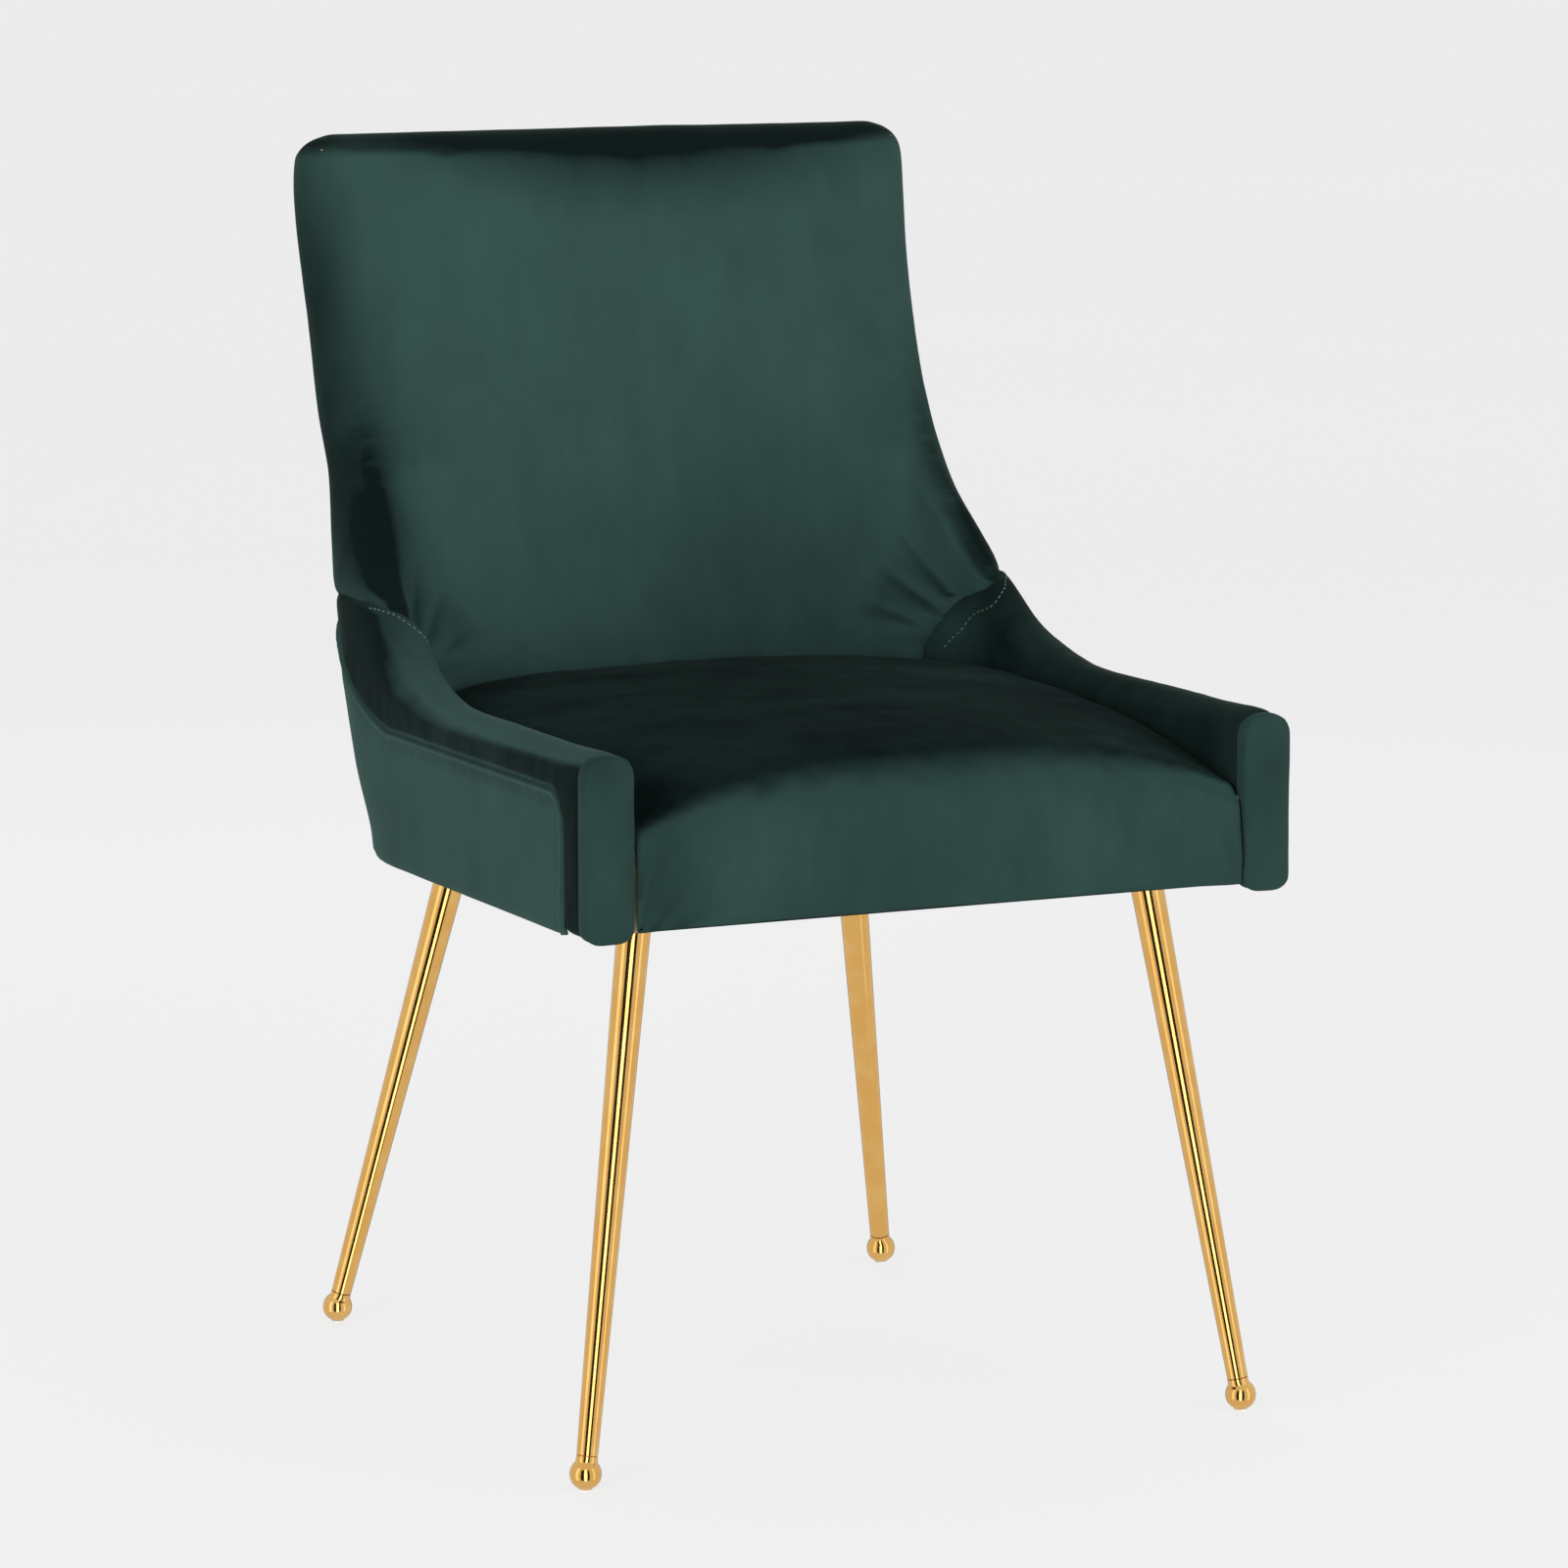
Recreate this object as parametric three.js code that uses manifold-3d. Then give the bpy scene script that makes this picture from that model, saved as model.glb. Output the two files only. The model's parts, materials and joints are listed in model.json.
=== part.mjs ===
// An upholstered dining chair: a plywood shell with low arms that sweep up into a raked back,
// covered in foam and velvet, on four tapered steel legs that end in ball feet.
// Millimetres. +Z is up, the chair faces -Y, and the origin is on the floor under its middle.
import * as THREE from "three";
import { mergeVertices } from "three/addons/utils/BufferGeometryUtils.js";
import Module from "manifold-3d";

const wasm = await Module();
wasm.setup();

// Overall sizes
const WIDTH = 506; // across the two arms
const DEPTH = 575; // from the seat's front to the back's rear face
const HEIGHT = 850; // floor to the top of the back
const BODY_BOTTOM = 363; // lower edge of the upholstery
const ARM_TOP = 484; // top of the low arms
const SEAT_TOP = 478; // crown of the seat
const GAP = 0.3; // between pieces that touch

// The upholstered shell
const BACK_WIDTH = 474; // across the back, above the sweep of the arms
const LEAN = 72; // how far the back leans from bottom to top
const BOW = 5; // how much the rear face bulges in the middle
const HOLLOW = 2; // how much the inner back is hollowed in the middle, low down
const ARM_WALL = 32.5; // thickness of an arm with its padding
const COVER = 4; // outer cover with its wadding
const FACING = 5.7; // padded front face of an arm
const ROLL = 36; // how far the inner cover wraps round an edge before it meets the outer cover

// Frame
const BOARD = 12; // plywood under the seat foam
const RAIL = 18; // thickness of the seat rails
const RAIL_HEIGHT = 46;
const POST = 24; // square back posts
const BACK_RAIL = 20; // thickness of the rails between the back posts
const FRAME_INSET = 8; // padding between the frame and the outside of the body
const ARM_PANEL = 12; // plywood inside each arm
const EDGE_PAD = 14; // foam over the edge of an arm panel
const BACK_BOARD = 6;
const BLOCK_HEIGHT = 32;
const BLOCK_REACH = 105; // how far a corner block runs along its rails

// Legs
const LEG_TOP_RADIUS = 11.3;
const LEG_END_RADIUS = 7;
const LEG_WALL = 1.4;
const BALL_RADIUS = 10.4;
const NECK_FILLET = 3;
const SPIGOT = 12; // length of the ball foot's spigot inside the leg
const GLIDE_RADIUS = 4.4;
const GLIDE_HEIGHT = 1.2;
const PLATE = { length: 72, width: 40, thickness: 3, inset: 4 };
const BOLT = { headRadius: 5, headHeight: 2.5, radius: 2.5, length: 28, clearance: 0.4 };
const BOLT_PITCH = { along: 52, across: 24 };
const DUST_COVER = 1.2;
const DUST_INSET = 14;

// Places that follow from the sizes above
const FRONT = -DEPTH / 2;
const HALF = WIDTH / 2;
const BACK_HALF = BACK_WIDTH / 2;
const PLATE_BOTTOM = BODY_BOTTOM - 0.5;
const DUST_BOTTOM = PLATE_BOTTOM + PLATE.thickness + GAP;
const FRAME_BOTTOM = DUST_BOTTOM + DUST_COVER + GAP;
const BOARD_BOTTOM = FRAME_BOTTOM + RAIL_HEIGHT + GAP;
const PAD_BOTTOM = BOARD_BOTTOM + BOARD + GAP;
const ARM_INSIDE = HALF - ARM_WALL;
const PANEL_OUTSIDE = HALF - ARM_PANEL;
const RAIL_OUTSIDE = PANEL_OUTSIDE - ARM_PANEL - GAP;
const RAIL_INSIDE = RAIL_OUTSIDE - RAIL;
const FRAME_FRONT = FRONT + FRAME_INSET + GAP;
const CUSHION_CLEARANCE = 2; // round the seat cushion

const up = (share) => ARM_TOP + share * (HEIGHT - ARM_TOP);

// ---------------------------------------------------------------- curves of the shell

// A smooth curve through [height, value] pairs, held level beyond its ends.
function through(pairs) {
  const rise = pairs.slice(1).map(([z, v], i) => (v - pairs[i][1]) / (z - pairs[i][0]));
  const slope = pairs.map((_, i) => {
    const before = rise[i - 1] ?? 0;
    const after = rise[i] ?? 0;
    return before * after > 0 ? (2 * before * after) / (before + after) : 0;
  });
  return (z) => {
    const last = pairs.length - 1;
    if (z <= pairs[0][0]) return pairs[0][1];
    if (z >= pairs[last][0]) return pairs[last][1];
    const i = pairs.findIndex(([height]) => height > z) - 1;
    const span = pairs[i + 1][0] - pairs[i][0];
    const t = (z - pairs[i][0]) / span;
    const bend = span * t * (1 - t) * ((1 - t) * slope[i] - t * slope[i + 1]);
    return THREE.MathUtils.lerp(pairs[i][1], pairs[i + 1][1], t * t * (3 - 2 * t)) + bend;
  };
}

const flare = (share) => BACK_HALF + share * (HALF - BACK_HALF);
const lean = (share) => DEPTH / 2 - share * LEAN;

// Half the width over the outside of the shell.
const halfWidth = through([
  [BODY_BOTTOM, HALF],
  [ARM_TOP - 10, flare(0.96)],
  [up(0.1), flare(0.62)],
  [up(0.19), flare(0.37)],
  [up(0.41), flare(0.04)],
  [up(0.63), flare(-0.06)],
  [up(0.87), flare(0.1)],
  [up(0.95), flare(0)],
  [HEIGHT, flare(-0.9)],
]);

// Rear face on the centre line.
const rearFace = through([
  [BODY_BOTTOM, lean(1)],
  [ARM_TOP, lean(0.97)],
  [up(0.1), lean(0.9)],
  [up(0.19), lean(0.82)],
  [up(0.41), lean(0.61)],
  [up(0.63), lean(0.36)],
  [up(0.87), lean(0.03)],
  [up(0.95), lean(0)],
  [HEIGHT, lean(0.18)],
]);

// Radius of the rear corners, seen from above.
const cornerRadius = through([
  [BODY_BOTTOM, 165],
  [ARM_TOP - 60, 125],
  [ARM_TOP - 9, 100],
  [up(0.1), 76],
  [up(0.19), 55],
  [up(0.41), 40],
  [up(0.63), 28],
]);

// Thickness of the back on the centre line.
const backWall = through([
  [ARM_TOP, 68],
  [up(0.41), 63],
  [up(0.87), 57],
  [up(0.95), 48],
  [HEIGHT, 31],
]);

// How far the front edge of the shell stands in front of the rear face, above the arms.
const edgeReach = through([
  [up(0.018), 239],
  [up(0.038), 204],
  [up(0.066), 176],
  [up(0.128), 145],
  [up(0.197), 114],
  [up(0.336), 76],
  [up(0.48), 56],
  [up(0.63), 48],
  [up(0.78), 50],
  [up(0.94), 51],
  [HEIGHT, 30],
]);

const armEnd = through([
  [ARM_TOP - 14, FRONT + FACING + GAP],
  [ARM_TOP - 4, FRONT + 14],
  [ARM_TOP, FRONT + 84],
  [up(0.006), FRONT + 190],
  [up(0.018), rearFace(up(0.018)) - edgeReach(up(0.018))],
]);

const edgeY = (z) => (z < up(0.018) ? armEnd(z) : rearFace(z) - edgeReach(z));
const innerFace = (z) => rearFace(z) - backWall(z);

// ---------------------------------------------------------------- outlines seen from above

function arc(x, y, radius, from, to, steps) {
  return Array.from({ length: steps + 1 }, (_, i) => {
    const angle = THREE.MathUtils.degToRad(from + ((to - from) * i) / steps);
    return new THREE.Vector2(x + radius * Math.cos(angle), y + radius * Math.sin(angle));
  });
}

const mirror = (points) => points.map((p) => new THREE.Vector2(-p.x, p.y)).reverse();

// Right half of the outside, from its front end to the middle of the rear face.
function outsideHalf(z, front, inset = 0) {
  const half = halfWidth(z) - inset;
  const radius = Math.max(cornerRadius(z) - inset, 4);
  const rear = rearFace(z) - inset;
  const corner = arc(half - radius, rear - BOW - radius, radius, 0, 90, 8);
  const start = Math.min(front, rear - BOW - radius - 1);
  const middle = new THREE.Vector2((half - radius) / 2, rear - BOW / 4);
  return [new THREE.Vector2(half, start), ...corner, middle];
}

// Right half of the inside, from the middle of the back's front face to the arm's front end.
function insideHalf(z, front, inset = 0) {
  const half = halfWidth(z) - ARM_WALL - inset;
  const middle = innerFace(z) - inset;
  const crown = Math.max(front - middle + 1, -HOLLOW);
  const radius = THREE.MathUtils.clamp(middle + crown - front - 1, 0.5, 115 - inset);
  const corner = arc(half - radius, middle + crown - radius, radius, 90, 0, 6);
  const between = new THREE.Vector2((half - radius) / 2, middle + crown / 4);
  return [between, ...corner, new THREE.Vector2(half, front)];
}

// Both halves of the outside, from the right front end round the back to the left one.
function outsideLine(z, front, inset = 0) {
  const half = outsideHalf(z, front, inset);
  return [...half, new THREE.Vector2(0, rearFace(z) - inset), ...mirror(half)];
}

// The padded wall at one height: outside and inside, open at the front like a horseshoe.
function wallOutline(z) {
  const inside = insideHalf(z, edgeY(z));
  const face = new THREE.Vector2(0, innerFace(z));
  return [...outsideLine(z, edgeY(z)), ...mirror(inside), face, ...inside];
}

// The whole plan at one height, closed straight across the front.
const planOutline = (z, inset = 0) => outsideLine(z, FRONT + inset, inset);

// ---------------------------------------------------------------- solids

// A closed body through outlines that have the same number of points, one at each height.
function loft(levels) {
  const count = levels[0].outline.length;
  const position = levels.flatMap(({ z, outline }) => outline.flatMap((p) => [p.x, p.y, z]));
  const index = [];
  for (let level = 0; level < levels.length - 1; level += 1) {
    for (let i = 0; i < count; i += 1) {
      const a = level * count + i;
      const b = level * count + ((i + 1) % count);
      index.push(a, b, b + count, a, b + count, a + count);
    }
  }
  const top = (levels.length - 1) * count;
  for (const [a, b, c] of THREE.ShapeUtils.triangulateShape(levels[0].outline, [])) {
    index.push(a, c, b);
  }
  for (const [a, b, c] of THREE.ShapeUtils.triangulateShape(levels.at(-1).outline, [])) {
    index.push(top + a, top + b, top + c);
  }
  const geometry = new THREE.BufferGeometry();
  geometry.setAttribute("position", new THREE.Float32BufferAttribute(position, 3));
  geometry.setIndex(index);
  return solid(geometry);
}

function solid(geometry) {
  const bare = geometry.clone();
  bare.deleteAttribute("normal");
  bare.deleteAttribute("uv");
  const merged = mergeVertices(bare, 1e-4);
  return new wasm.Manifold(
    new wasm.Mesh({
      numProp: 3,
      vertProperties: new Float32Array(merged.attributes.position.array),
      triVerts: new Uint32Array(merged.index.array),
    }),
  );
}

function geometryOf(body) {
  const mesh = body.getMesh();
  const geometry = new THREE.BufferGeometry();
  geometry.setAttribute("position", new THREE.BufferAttribute(mesh.vertProperties, 3));
  geometry.setIndex(new THREE.BufferAttribute(mesh.triVerts, 1));
  geometry.computeVertexNormals();
  return geometry;
}

function box(x0, x1, y0, y1, z0, z1) {
  const geometry = new THREE.BoxGeometry(x1 - x0, y1 - y0, z1 - z0);
  return solid(geometry.translate((x0 + x1) / 2, (y0 + y1) / 2, (z0 + z1) / 2));
}

function extrude(shape, depth) {
  return new THREE.ExtrudeGeometry(shape, { depth, bevelEnabled: false, curveSegments: 6 });
}

// Extrusions of outlines drawn from above (x, y), from the front (x, z) and from the side (y, z).
const fromAbove = (shape, z0, z1) => solid(extrude(shape, z1 - z0).translate(0, 0, z0));
const fromFront = (shape, y0, y1) =>
  solid(extrude(shape, y1 - y0).rotateX(Math.PI / 2).translate(0, y1, 0));
const fromSide = (shape, x0, x1) =>
  solid(extrude(shape, x1 - x0).rotateZ(Math.PI / 2).rotateY(Math.PI / 2).translate(x0, 0, 0));

const polygon = (pairs) => new THREE.Shape(pairs.map(([x, y]) => new THREE.Vector2(x, y)));
const flipX = (body) => body.mirror([1, 0, 0]);

// ---------------------------------------------------------------- the shell and its covers

const WALL_SHARES = [0.006, 0.018, 0.038, 0.066, 0.128, 0.197, 0.27, 0.336, 0.41, 0.52, 0.63, 0.75, 0.87];
const WALL_LEVELS = [
  BODY_BOTTOM,
  PAD_BOTTOM - 0.5,
  ARM_TOP - 14,
  ARM_TOP - 4,
  ARM_TOP,
  ...WALL_SHARES.map(up),
  up(0.95),
  up(0.985),
  HEIGHT,
];

const wall = loft(WALL_LEVELS.map((z) => ({ z, outline: wallOutline(z) })));

function body(inset, z0 = BODY_BOTTOM, z1 = HEIGHT) {
  const between = WALL_LEVELS.filter((z) => z > z0 + 1 && z < z1 - 1 && z !== ARM_TOP - 4);
  return loft([z0, ...between, z1].map((z) => ({ z, outline: planOutline(z, inset) })));
}

const FAR = 2 * DEPTH;
const coverBand = (outer, inner) =>
  body(outer, BODY_BOTTOM, HEIGHT).subtract(body(inner, BODY_BOTTOM, HEIGHT));
const PROUD = 2; // cuts start this far outside the body
const thinBand = coverBand(0, COVER);
const cutBand = coverBand(-PROUD, COVER + GAP);

// Side view of the outer side cover: its edge follows the arm at the width of the roll.
function sideCoverShape(grow) {
  const edge = ARM_TOP - ROLL + 7 + grow;
  const front = FRONT + ROLL - grow;
  const rear = rearFace(ARM_TOP);
  const shape = new THREE.Shape();
  shape.moveTo(front, BODY_BOTTOM - 5);
  shape.lineTo(front, edge - 18);
  shape.quadraticCurveTo(front, edge, front + 18, edge);
  shape.lineTo(rear - 180, edge);
  shape.quadraticCurveTo(rear - 120, edge, rear - 85, edge + 28);
  shape.quadraticCurveTo(rear - 40, edge + 68, FAR, edge + 72);
  shape.lineTo(FAR, BODY_BOTTOM - 5);
  return shape;
}

// Front view of the outside back cover: its side seams run from the bottom to the top corners.
const BACK_COVER = { bottomHalf: 150, topMargin: 30, below: 24, corner: 22 };
function backCoverShape(grow) {
  const low = BACK_COVER.bottomHalf + grow;
  const high = BACK_HALF - BACK_COVER.topMargin + grow;
  const top = HEIGHT - BACK_COVER.below + grow;
  const shape = new THREE.Shape();
  shape.moveTo(-low, BODY_BOTTOM - 5);
  shape.lineTo(low, BODY_BOTTOM - 5);
  shape.lineTo(high, top - BACK_COVER.corner);
  shape.quadraticCurveTo(high, top, high - BACK_COVER.corner, top);
  shape.lineTo(BACK_COVER.corner - high, top);
  shape.quadraticCurveTo(-high, top, -high, top - BACK_COVER.corner);
  return shape;
}

// Front view of the inner back: a curved seam each side parts it from the arms.
const SEAM = { foot: 189, head: up(0.16) };
function innerBackShape(grow) {
  const foot = SEAM.foot + grow;
  const head = SEAM.head - grow;
  const shape = new THREE.Shape();
  shape.moveTo(-foot, PAD_BOTTOM - 90);
  shape.lineTo(foot, PAD_BOTTOM - 90);
  shape.lineTo(foot, head - 86);
  shape.quadraticCurveTo(foot + 4, head - 14, HALF + 10, head + 4);
  shape.lineTo(HALF + 10, HEIGHT + 10);
  shape.lineTo(-HALF - 10, HEIGHT + 10);
  shape.lineTo(-HALF - 10, head + 4);
  shape.quadraticCurveTo(-foot - 4, head - 14, -foot, head - 86);
  return shape;
}

const backCoverZone = (grow) => fromFront(backCoverShape(grow), rearFace(BODY_BOTTOM) - 60, FAR);
const sideCoverZone = (grow) =>
  fromSide(sideCoverShape(grow), 0, HALF + 10).subtract(backCoverZone(GAP));

const outerSide = thinBand.intersect(sideCoverZone(0));
const outsideBack = thinBand.intersect(backCoverZone(0));

// ---------------------------------------------------------------- frame

function postCentre(z) {
  const radius = cornerRadius(z);
  const inward = radius - (radius - FRAME_INSET - POST * Math.SQRT1_2) * Math.SQRT1_2;
  return { x: halfWidth(z) - inward, y: rearFace(z) - BOW - inward };
}

const rectangle = (x0, x1, y0, y1) =>
  [[x1, y0], [x1, y1], [x0, y1], [x0, y0]].map(([x, y]) => new THREE.Vector2(x, y));

const levelsBetween = (z0, z1) => [z0, ...WALL_LEVELS.filter((z) => z > z0 + 6 && z < z1 - 6), z1];

const POST_TOP = HEIGHT - EDGE_PAD;
function backPost(grow = 0) {
  const reach = POST / 2 + grow;
  return loft(
    levelsBetween(FRAME_BOTTOM, POST_TOP + grow).map((z) => {
      const { x, y } = postCentre(Math.min(z, POST_TOP));
      return { z, outline: rectangle(x - reach, x + reach, y - reach, y + reach) };
    }),
  );
}

// A slab that follows the rake of the back and runs from the middle of one post to the other.
function crossPiece(z0, z1, thickness, grow = 0) {
  const depth = thickness / 2 + grow;
  return loft(
    levelsBetween(z0 - grow, z1 + grow).map((z) => {
      const { x, y } = postCentre(Math.min(z, POST_TOP));
      return { z, outline: rectangle(-x, x, y - depth, y + depth) };
    }),
  );
}

const betweenPosts = (piece) => piece.subtract(backPost(GAP)).subtract(flipX(backPost(GAP)));

const TOP_RAIL = [HEIGHT - 56, HEIGHT - 18];
const LOWER_RAIL = [PAD_BOTTOM + 10, PAD_BOTTOM + 50];
const topRail = (grow) => crossPiece(...TOP_RAIL, BACK_RAIL, grow);
const lowerRail = (grow) => crossPiece(...LOWER_RAIL, BACK_RAIL, grow);
const backBoard = (grow) => crossPiece(LOWER_RAIL[1] + 1, TOP_RAIL[0] - 1, BACK_BOARD, grow);

// Side view of an arm panel: the arm's edge line, moved in by the foam over it.
function armPanelShape(grow) {
  const inset = EDGE_PAD - grow;
  const sweep = [0.197, 0.128, 0.066, 0.038].map(up);
  const edge = sweep.map((z) => [edgeY(z) + inset, z - inset * 0.7]);
  return polygon([
    [FRONT + FACING + 3 - grow, FRAME_BOTTOM],
    [rearFace(ARM_TOP), FRAME_BOTTOM],
    [rearFace(ARM_TOP), edge[0][1]],
    ...edge,
    [edgeY(up(0.018)), ARM_TOP - inset + 4],
    [FRONT + 60, ARM_TOP - inset],
    [FRONT + FACING + 6 - grow, ARM_TOP - inset - 10],
  ]);
}

const frameRoom = body(FRAME_INSET);
function armPanel(grow = 0) {
  const inside = PANEL_OUTSIDE - ARM_PANEL - grow;
  const slab = fromSide(armPanelShape(grow), inside, PANEL_OUTSIDE + grow);
  return slab.intersect(body(FRAME_INSET - grow)).subtract(backPost(GAP));
}

const SIDE_RAIL_END = rearFace(BODY_BOTTOM) - 95;
const REAR_RAIL = { half: 150, front: rearFace(BODY_BOTTOM) - 45 };
const frameTop = FRAME_BOTTOM + RAIL_HEIGHT;
const sideRail = box(RAIL_INSIDE, RAIL_OUTSIDE, FRAME_FRONT, SIDE_RAIL_END, FRAME_BOTTOM, frameTop);
const frontRail = box(
  -RAIL_INSIDE + GAP,
  RAIL_INSIDE - GAP,
  FRAME_FRONT,
  FRAME_FRONT + RAIL,
  FRAME_BOTTOM,
  frameTop,
);
const rearRail = box(
  -REAR_RAIL.half,
  REAR_RAIL.half,
  REAR_RAIL.front,
  FAR,
  FRAME_BOTTOM,
  frameTop,
).intersect(frameRoom);

const blockTop = FRAME_BOTTOM + BLOCK_HEIGHT;
const frontBlockEdge = FRAME_FRONT + RAIL + GAP;
const frontBlock = fromAbove(
  polygon([
    [RAIL_INSIDE - GAP, frontBlockEdge],
    [RAIL_INSIDE - GAP, frontBlockEdge + BLOCK_REACH],
    [RAIL_INSIDE - GAP - BLOCK_REACH, frontBlockEdge],
  ]),
  FRAME_BOTTOM,
  blockTop,
);
const rearBlock = fromAbove(
  polygon([
    [RAIL_INSIDE - GAP, SIDE_RAIL_END - 60],
    [RAIL_INSIDE - GAP, SIDE_RAIL_END + GAP],
    [HALF, SIDE_RAIL_END + GAP],
    [HALF, FAR],
    [REAR_RAIL.half + GAP, FAR],
    [REAR_RAIL.half + GAP, REAR_RAIL.front - GAP],
    [REAR_RAIL.half - 55, REAR_RAIL.front - GAP],
  ]),
  FRAME_BOTTOM,
  blockTop,
)
  .intersect(frameRoom)
  .subtract(backPost(GAP))
  .subtract(armPanel(GAP));

const seatBoard = betweenPosts(body(FRAME_INSET, BOARD_BOTTOM, BOARD_BOTTOM + BOARD))
  .intersect(box(-RAIL_OUTSIDE, RAIL_OUTSIDE, FRAME_FRONT, FAR, 0, HEIGHT))
  .subtract(armPanel(GAP))
  .subtract(flipX(armPanel(GAP)));

// ---------------------------------------------------------------- padding

const backFrame = [topRail(GAP), lowerRail(GAP), backBoard(GAP)];
const postPockets = [backPost(GAP), flipX(backPost(GAP))];
const armPockets = [armPanel(GAP), flipX(armPanel(GAP))];
const coverPockets = [
  cutBand.intersect(fromSide(sideCoverShape(GAP), -HALF - 10, HALF + 10)),
  cutBand.intersect(backCoverZone(GAP)),
];
const underPads = [
  box(-HALF - 10, HALF + 10, FRONT + ROLL, FAR, 0, PAD_BOTTOM),
  box(-RAIL_OUTSIDE - GAP, RAIL_OUTSIDE + GAP, -FAR, FAR, 0, PAD_BOTTOM),
];
const padding = [...underPads, ...coverPockets, ...backFrame, ...postPockets, ...armPockets].reduce(
  (pad, pocket) => pad.subtract(pocket),
  wall,
);
const innerBackZone = (grow) => fromFront(innerBackShape(grow), -FAR, FAR);
const backPad = padding.intersect(innerBackZone(0));
const armPads = padding.subtract(innerBackZone(GAP));
const armPad = armPads.intersect(box(0, FAR, -FAR, FAR, 0, HEIGHT));

const facingShape = new THREE.Shape();
const FACING_TOP = ARM_TOP - 5;
facingShape.moveTo(ARM_INSIDE, BODY_BOTTOM);
facingShape.lineTo(HALF, BODY_BOTTOM);
facingShape.lineTo(HALF, FACING_TOP - 15);
facingShape.quadraticCurveTo(HALF, FACING_TOP, HALF - 15, FACING_TOP);
facingShape.lineTo(ARM_INSIDE + 12, FACING_TOP);
facingShape.quadraticCurveTo(ARM_INSIDE, FACING_TOP, ARM_INSIDE, FACING_TOP - 12);
const facing = fromFront(facingShape, FRONT, FRONT + FACING);

// The seat cushion: a crowned pad whose cover runs down over the front rail.
function cushionOutline(z, inset) {
  const side = insideHalf(z, FRONT + inset, CUSHION_CLEARANCE + inset);
  const rear = new THREE.Vector2(0, innerFace(z) - CUSHION_CLEARANCE - inset);
  return [rear, ...side, ...mirror(side)].reverse();
}
const CROWN = [[0, 0], [0.35, 0], [0.6, 6], [0.8, 24], [0.93, 60], [1, 100]];
const crown = loft(
  CROWN.map(([share, inset]) => {
    const z = THREE.MathUtils.lerp(PAD_BOTTOM, SEAT_TOP, share);
    return { z, outline: cushionOutline(z, inset) };
  }),
);
const apronHalf = ARM_INSIDE - CUSHION_CLEARANCE;
const apron = box(-apronHalf, apronHalf, FRONT, FRONT + FRAME_INSET, BODY_BOTTOM, PAD_BOTTOM + 4);
const cushion = crown.add(apron);

// ---------------------------------------------------------------- legs

// Where each leg's axis meets the plate, and where its ball stands.
const LEGS = [
  { name: "front", top: [HALF - 65.6, FRONT + 76.5], foot: [HALF - 11.3, FRONT + 35.5] },
  { name: "rear", top: [HALF - 103.6, DEPTH / 2 - 118], foot: [HALF - 36.3, DEPTH / 2 - 40.5] },
];

const ballFlat = Math.sqrt(BALL_RADIUS ** 2 - GLIDE_RADIUS ** 2);
const BALL_CENTRE = GLIDE_HEIGHT + GAP + ballFlat;
const LEG_START = BALL_RADIUS + 1.5; // from the ball's centre to the end of the tube

function lathe(points, segments) {
  const profile = points.map(([r, y]) => new THREE.Vector2(r, y));
  return new THREE.LatheGeometry([...profile, profile[0].clone()], segments).rotateX(Math.PI / 2);
}

// Turns a shape that stands on the origin so that its axis leans along the leg.
function onAxis(geometry, leg) {
  const foot = new THREE.Vector3(...leg.foot, BALL_CENTRE);
  const axis = new THREE.Vector3(...leg.top, PLATE_BOTTOM).sub(foot).normalize();
  const turn = new THREE.Quaternion().setFromUnitVectors(new THREE.Vector3(0, 0, 1), axis);
  return geometry.applyQuaternion(turn).translate(foot.x, foot.y, foot.z);
}

function legTube(leg) {
  const length = Math.hypot(
    leg.top[0] - leg.foot[0],
    leg.top[1] - leg.foot[1],
    PLATE_BOTTOM - BALL_CENTRE,
  );
  const end = length + LEG_TOP_RADIUS;
  const tube = lathe(
    [
      [LEG_END_RADIUS - LEG_WALL, LEG_START],
      [LEG_END_RADIUS, LEG_START],
      [LEG_TOP_RADIUS, end],
      [LEG_TOP_RADIUS - LEG_WALL, end],
    ],
    28,
  );
  const above = box(-FAR, FAR, -FAR, FAR, PLATE_BOTTOM - GAP, HEIGHT);
  return solid(onAxis(tube, leg)).subtract(above);
}

function ballFoot(leg) {
  const spigot = LEG_END_RADIUS - LEG_WALL - GAP;
  const neck = LEG_END_RADIUS;
  const shoulder = Math.sqrt(BALL_RADIUS ** 2 - (neck + NECK_FILLET / 3) ** 2);
  const rise = Math.asin(shoulder / BALL_RADIUS);
  const ball = Array.from({ length: 8 }, (_, i) => {
    const angle = -Math.PI / 2 + ((rise + Math.PI / 2) * i) / 7;
    return [Math.max(BALL_RADIUS * Math.cos(angle), 0), BALL_RADIUS * Math.sin(angle)];
  });
  const profile = [
    ...ball,
    [neck, LEG_START - GAP],
    [spigot, LEG_START - GAP],
    [spigot, LEG_START + SPIGOT],
    [0, LEG_START + SPIGOT],
  ];
  const below = box(-FAR, FAR, -FAR, FAR, -BALL_RADIUS, GLIDE_HEIGHT + GAP);
  return solid(onAxis(lathe(profile, 20), leg)).subtract(below);
}

function glide(leg) {
  const disc = new THREE.CylinderGeometry(GLIDE_RADIUS, GLIDE_RADIUS, GLIDE_HEIGHT, 20);
  return disc.rotateX(Math.PI / 2).translate(leg.foot[0], leg.foot[1], GLIDE_HEIGHT / 2);
}

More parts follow.
